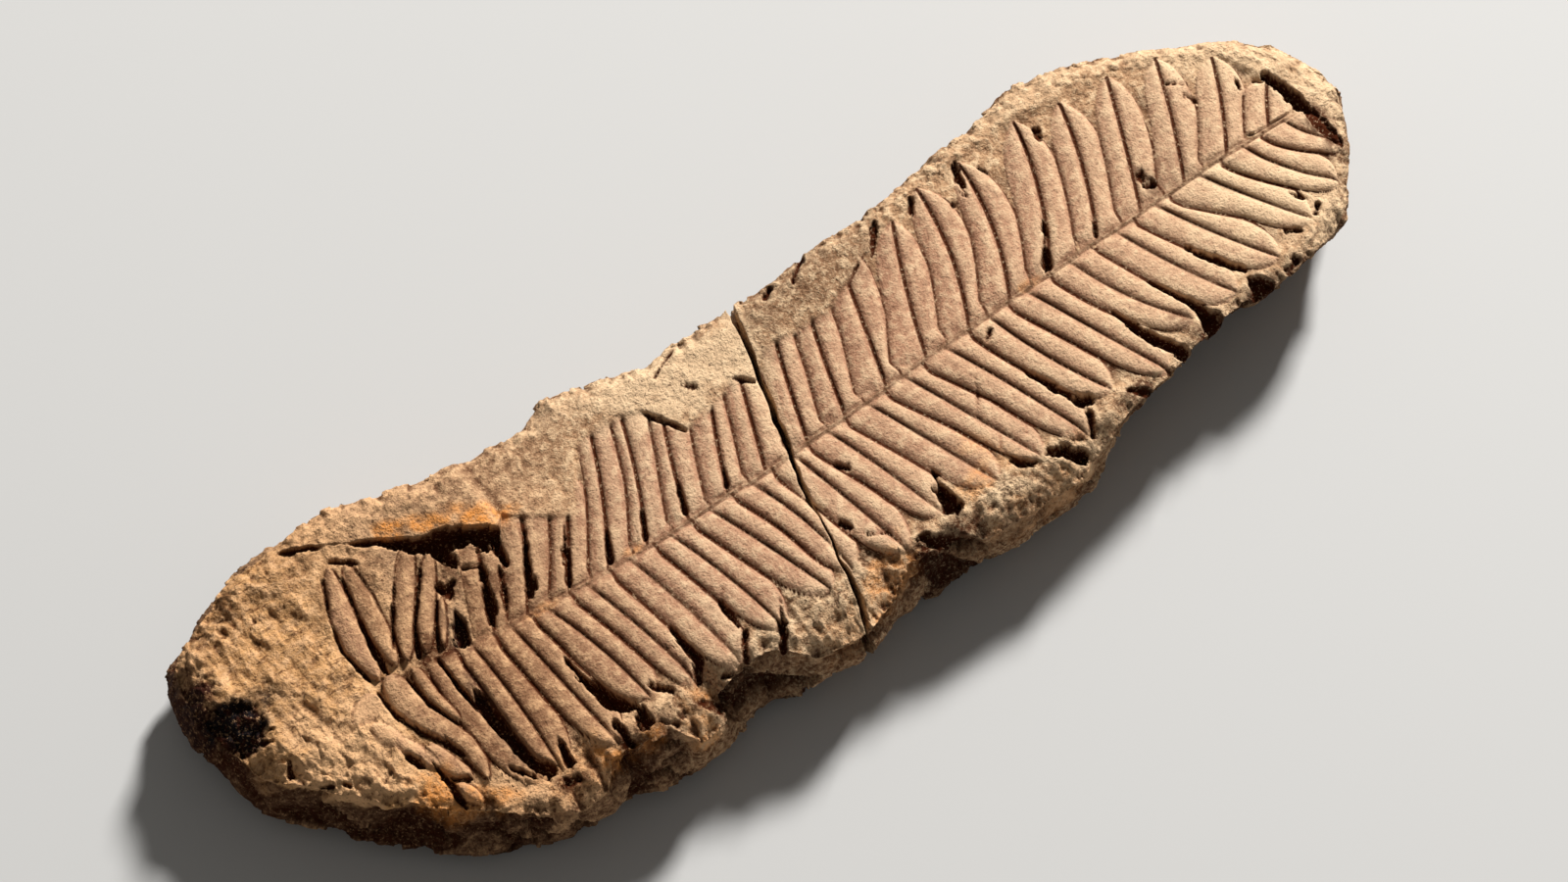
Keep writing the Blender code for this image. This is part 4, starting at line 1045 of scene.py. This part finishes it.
class Finish:
    """A material's node tree, built up one small step at a time."""

    def __init__(self, name):
        self.material = bpy.data.materials.new(name)
        self.material.use_nodes = True
        self.tree = self.material.node_tree
        self.shader = self.tree.nodes["Principled BSDF"]
        self.place = self.tree.nodes.new("ShaderNodeTexCoord").outputs["Object"]

    def put(self, socket, value):
        """A socket's value: another socket linked to it, a colour, or a number."""
        if isinstance(value, bpy.types.NodeSocket):
            self.tree.links.new(value, socket)
        elif isinstance(value, tuple) and socket.type == "RGBA":
            socket.default_value = (*value, 1)
        else:
            socket.default_value = value

    def node(self, kind, values):
        """A new node, with the values put in its sockets by name or number."""
        node = self.tree.nodes.new("ShaderNode" + kind)
        for name, value in values.items():
            self.put(node.inputs[name], value)
        return node

    def mark(self, name):
        """One of the mesh's marks, read from its attribute."""
        node = self.node("Attribute", {})
        node.attribute_name = name
        return node.outputs["Fac"]

    def along(self, start, end, low=0.0, high=1.0):
        """low before start and high after end, in millimetres along the slab, and straight between them."""
        x = self.node("SeparateXYZ", {"Vector": self.place}).outputs["X"]
        return self.ramp(x, start * MM, end * MM, low, high)

    def noise(self, size, detail, roughness=0.55, place=None):
        """Noise whose largest lumps are about size millimetres across."""
        values = {"Vector": place or self.place, "Scale": 1 / (size * MM)}
        return self.node("TexNoise", {**values, "Detail": detail, "Roughness": roughness}).outputs["Fac"]

    def streaks(self, size, turn):
        """Noise about size millimetres across, drawn out along the way turn degrees from +X."""
        turned = {"Vector": self.place, "Rotation": (0, 0, np.radians(-turn))}
        place = self.node("Mapping", {**turned, "Scale": (STREAK_SQUEEZE, 1, 1)}).outputs["Vector"]
        return self.noise(size, 4.0, 0.6, place)

    def grains(self, size):
        """Distance to the middle of the nearest grain, for grains about size millimetres across."""
        return self.node("TexVoronoi", {"Vector": self.place, "Scale": 1 / (size * MM)}).outputs["Distance"]

    def math(self, operation, a, b):
        """One operation on two numbers or patterns."""
        node = self.node("Math", {0: a, 1: b})
        node.operation = operation
        return node.outputs["Value"]

    def ramp(self, value, start, end, low=0.0, high=1.0):
        """low before start, high after end, and straight between them."""
        values = {"Value": value, "From Min": start, "From Max": end, "To Min": low, "To Max": high}
        return self.node("MapRange", values).outputs["Result"]

    def lay(self, over, colour, share, *shares):
        """The colour over laid on another colour, by a share or by the product of several."""
        for other in shares:
            share = self.math("MULTIPLY", share, other)
        node = self.node("Mix", {})
        node.data_type = "RGBA"
        for name, value in (("Factor", share), (6, colour), (7, over)):
            self.put(node.inputs[name], value)
        return node.outputs[2]

    def bump(self, height, distance, strength, normal=None):
        """Small relief up to distance millimetres high, over relief that is there already."""
        values = {"Height": height, "Distance": distance * MM, "Strength": strength}
        if normal is not None:
            values["Normal"] = normal
        return self.node("Bump", values).outputs["Normal"]


def sandstone(name, warmth):
    """Sandstone with a fossil on it. Each colour is laid over those before it, by the block's marks and by
    patterns of several sizes. Leaflets are smoother and pinker than the stone, grooves, hollows and low
    places get painted shade, crests are rubbed pale, and stains lie where they are marked, some of them
    painted light or painted shade. warmth multiplies the stone's colour in patches."""
    f = Finish(name)
    leaf, broken, shade, cavity_mark = (f.mark(m) for m in ("leaf", "broken", "shade", "cavity"))
    blotch = f.noise(BLOTCH_SIZE, 4.0)
    mottle = f.noise(MOTTLE_SIZE, 5.0, 0.62)
    speckle = f.noise(SPECKLE_SIZE, 3.0, 0.65)
    sand = f.noise(SAND_SIZE, 4.0, 0.7)
    streak = f.streaks(STREAK_SIZE, STREAK_TURN)
    grain = f.grains(GRAIN_SIZE)
    grit = f.math("MAXIMUM", f.mark("grit"), broken)
    rocky = f.math("MULTIPLY", f.ramp(leaf, 0, 1, 1.0, 0.7), f.ramp(broken, 0, 1, 1.0, 0.8))
    in_butt = f.math("MULTIPLY", f.along(*STREAKED_X), f.ramp(leaf, 0, 1, 1.0, 0.3))
    sunlit = f.math("MULTIPLY", grit, f.ramp(shade, 0.1, 0.7, 1.0, 0.15))

    # The stone and the leaflets, each changing along the slab.
    stone = f.lay(tuple(c * warmth for c in STONE_COLOUR), STONE_COLOUR, f.ramp(blotch, 0.35, 0.65))
    stone = f.lay(BUTT_STONE_COLOUR, stone, f.along(*BUTT_STONE_X))
    leaflet = f.lay(OLD_LEAF_COLOUR, LEAF_COLOUR, f.along(*OLD_LEAF_X))
    leaflet = f.lay(LEAF_COLOUR, leaflet, f.along(*LAST_LEAF_X))
    leaflet = f.lay(PALE_COLOUR, leaflet, f.along(*PALE_LEAF_X, 0.0, 0.3))
    colour = f.lay(leaflet, stone, leaf)
    pale = f.lay(OLD_PALE_COLOUR, PALE_COLOUR, f.along(*OLD_PALE_X))

    # Light and dark spots, streaks at the butt end, and pale stains, some of them painted light.
    colour = f.lay(pale, colour, f.ramp(mottle, 0.48, 0.64), rocky, 0.75)
    dirty = f.lay(DIRT_AND_SHADE_COLOUR, colour, 0.6)
    colour = f.lay(dirty, colour, f.ramp(mottle, 0.46, 0.32), rocky, 0.75)
    colour = f.lay(pale, colour, f.ramp(streak, 0.54, 0.64, 0.0, 0.6), in_butt)
    colour = f.lay(DIRT_AND_SHADE_COLOUR, colour, f.ramp(streak, 0.43, 0.34, 0.0, 0.7), in_butt)
    colour = f.lay(pale, colour, f.mark("pale"), 0.8)

    # The broken sides, darkened by painted shade, the sand, whose pale grains fade where shade is painted,
    # and rust, with painted warm light on some slopes.
    patches = f.ramp(blotch, 0.3, 0.7, -0.25, 0.25)
    face = f.lay(STONE_COLOUR, BROKEN_AND_SHADED_COLOUR, f.ramp(mottle, 0.4, 0.62))
    face = f.lay(SHADE_COLOUR, face, f.ramp(f.math("ADD", shade, patches), 0.1, 0.9))
    colour = f.lay(face, colour, broken)
    colour = f.lay(pale, colour, f.ramp(sand, 0.52, 0.60, 0, 0.6), sunlit)
    colour = f.lay(DIRT_AND_SHADE_COLOUR, colour, f.ramp(sand, 0.48, 0.40, 0, 0.65), grit)
    colour = f.lay(RUST_AND_WARM_LIGHT_COLOUR, colour, f.mark("rust_and_warm_light"), f.ramp(mottle, 0.36, 0.56, 0.2, 1.0))

    # Painted shade in what lies low, paler crests, painted shade along the groove and edge lines and in the
    # hollows, the stalk, and dark and black spots, some of them painted shade.
    colour = f.lay(DIRT_AND_SHADE_COLOUR, colour, f.ramp(cavity_mark, 0.10, 0.8, 0.0, 0.85))
    crest = f.ramp(cavity_mark, -0.08, -0.45, 0.0, 0.4)
    colour = f.lay(pale, colour, crest, f.along(*DULL_CREST_X, 1.0, 0.4))
    painted_shade_line = f.math("ADD", f.mark("line"), f.ramp(mottle, 0.35, 0.65, -0.2, 0.2))
    colour = f.lay(DIRT_AND_SHADE_COLOUR, colour, f.ramp(painted_shade_line, 0.3, 0.8, 0.0, 0.95))
    colour = f.lay(STALK_COLOUR, colour, f.mark("stalk"), f.ramp(mottle, 0.35, 0.6, 0.85, 0.4))
    colour = f.lay(DIRT_AND_SHADE_COLOUR, colour, f.mark("dirt_and_shade"), f.ramp(mottle, 0.66, 0.50, 0.3, 1.0))
    colour = f.lay(DIRT_AND_SHADE_COLOUR, colour, f.mark("hollow"))
    colour = f.lay(BLACK_SPOTS_AND_SHADE_COLOUR, colour, f.mark("black_spots_and_shade"), f.ramp(mottle, 0.60, 0.48, 0.4, 1.0))
    colour = f.lay(pale, colour, f.ramp(speckle, 0.56, 0.68, 0.0, 0.5), rocky)
    colour = f.lay(DIRT_AND_SHADE_COLOUR, colour, f.ramp(speckle, 0.42, 0.32, 0.0, 0.7), rocky)
    f.put(f.shader.inputs["Base Color"], colour)
    f.put(f.shader.inputs["Roughness"], f.ramp(speckle, 0.3, 0.7, 0.72, 0.95))
    f.put(f.shader.inputs["Specular IOR Level"], SHEEN)

    # Fine relief, from spots down to single grains.
    coarse = f.bump(mottle, 1.0, f.ramp(leaf, 0, 1, 0.95, 0.42))
    fine = f.bump(speckle, 0.35, f.ramp(leaf, 0, 1, 1.0, 0.95), coarse)
    gritty = f.bump(sand, 0.8, grit, fine)
    f.put(f.shader.inputs["Normal"], f.bump(grain, 0.10, 0.5, gritty))
    return f.material


def add_to_scene(name, data):
    """A new object, put in the scene."""
    thing = bpy.data.objects.new(name, data)
    bpy.context.scene.collection.objects.link(thing)
    return thing


def add_block(name, ribs, to_crack, material):
    """One block's stone, which rides on the body and replaces the block's solid."""
    block = add_to_scene(name + "_stone", block_mesh(name + "_stone", ribs, to_crack))
    block.data.materials.append(material)
    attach(block, "root")
    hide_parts(name)
    return block


def direction(azimuth, elevation):
    """The unit vector that points azimuth degrees round from +X and elevation degrees up."""
    a, e = np.radians(azimuth), np.radians(elevation)
    return np.array([np.cos(a) * np.cos(e), np.sin(a) * np.cos(e), np.sin(e)])


def floor_paint():
    """Plain pale paint."""
    paint = bpy.data.materials.new("floor_paint")
    paint.use_nodes = True
    shader = paint.node_tree.nodes["Principled BSDF"]
    shader.inputs["Base Color"].default_value = (*FLOOR_COLOUR, 1)
    shader.inputs["Roughness"].default_value = FLOOR_ROUGHNESS
    return paint


def add_studio():
    """A pale floor, a low lamp from the slab's tip end and upper side, and soft light from all round."""
    mesh = bpy.data.meshes.new("floor")
    corners = [(x * FLOOR_HALF, y * FLOOR_HALF, 0) for x, y in ((-1, -1), (1, -1), (1, 1), (-1, 1))]
    mesh.from_pydata(corners, [], [(0, 1, 2, 3)])
    mesh.materials.append(floor_paint())
    floor = add_to_scene("floor", mesh)
    lamp = add_to_scene("key_lamp", bpy.data.lights.new("key_lamp", "AREA"))
    lamp.data.size = KEY_SIZE
    lamp.data.energy = KEY_POWER
    lamp.location = direction(KEY_AZIMUTH, KEY_ELEVATION) * KEY_DISTANCE
    lamp.rotation_euler = (np.radians(90 - KEY_ELEVATION), 0, np.radians(KEY_AZIMUTH + 90))
    world = bpy.data.worlds.new("studio")
    world.use_nodes = True
    sky = world.node_tree.nodes["Background"]
    sky.inputs["Color"].default_value = (*SKY_COLOUR, 1)
    sky.inputs["Strength"].default_value = SKY_STRENGTH
    bpy.context.scene.world = world
    bpy.context.scene.view_settings.view_transform = "Standard"


def add_camera():
    """A long lens that looks down on the slab, turned so that the slab lies across the view."""
    camera = add_to_scene("camera", bpy.data.cameras.new("camera"))
    camera.data.lens = CAMERA_LENS
    camera.data.sensor_width = CAMERA_SENSOR
    away = direction(CAMERA_TURN - 90, CAMERA_ELEVATION)
    camera.location = (np.array(CAMERA_TARGET) + away * CAMERA_DISTANCE) * MM
    camera.rotation_euler = (np.radians(90 - CAMERA_ELEVATION), 0, np.radians(CAMERA_TURN))
    bpy.context.scene.camera = camera


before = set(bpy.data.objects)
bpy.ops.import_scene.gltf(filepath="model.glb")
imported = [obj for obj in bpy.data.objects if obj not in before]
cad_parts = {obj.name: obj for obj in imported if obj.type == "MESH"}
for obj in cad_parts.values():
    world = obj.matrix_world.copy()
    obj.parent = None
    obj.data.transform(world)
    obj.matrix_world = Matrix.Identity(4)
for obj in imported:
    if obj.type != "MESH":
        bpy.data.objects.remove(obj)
CAD_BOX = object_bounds()
butt = add_block("butt_block", BUTT_RIBS, 1, sandstone("butt_sandstone_finish", BUTT_WARMTH))
tip = add_block("tip_block", TIP_RIBS, -1, sandstone("tip_sandstone_finish", TIP_WARMTH))
add_studio()
add_camera()
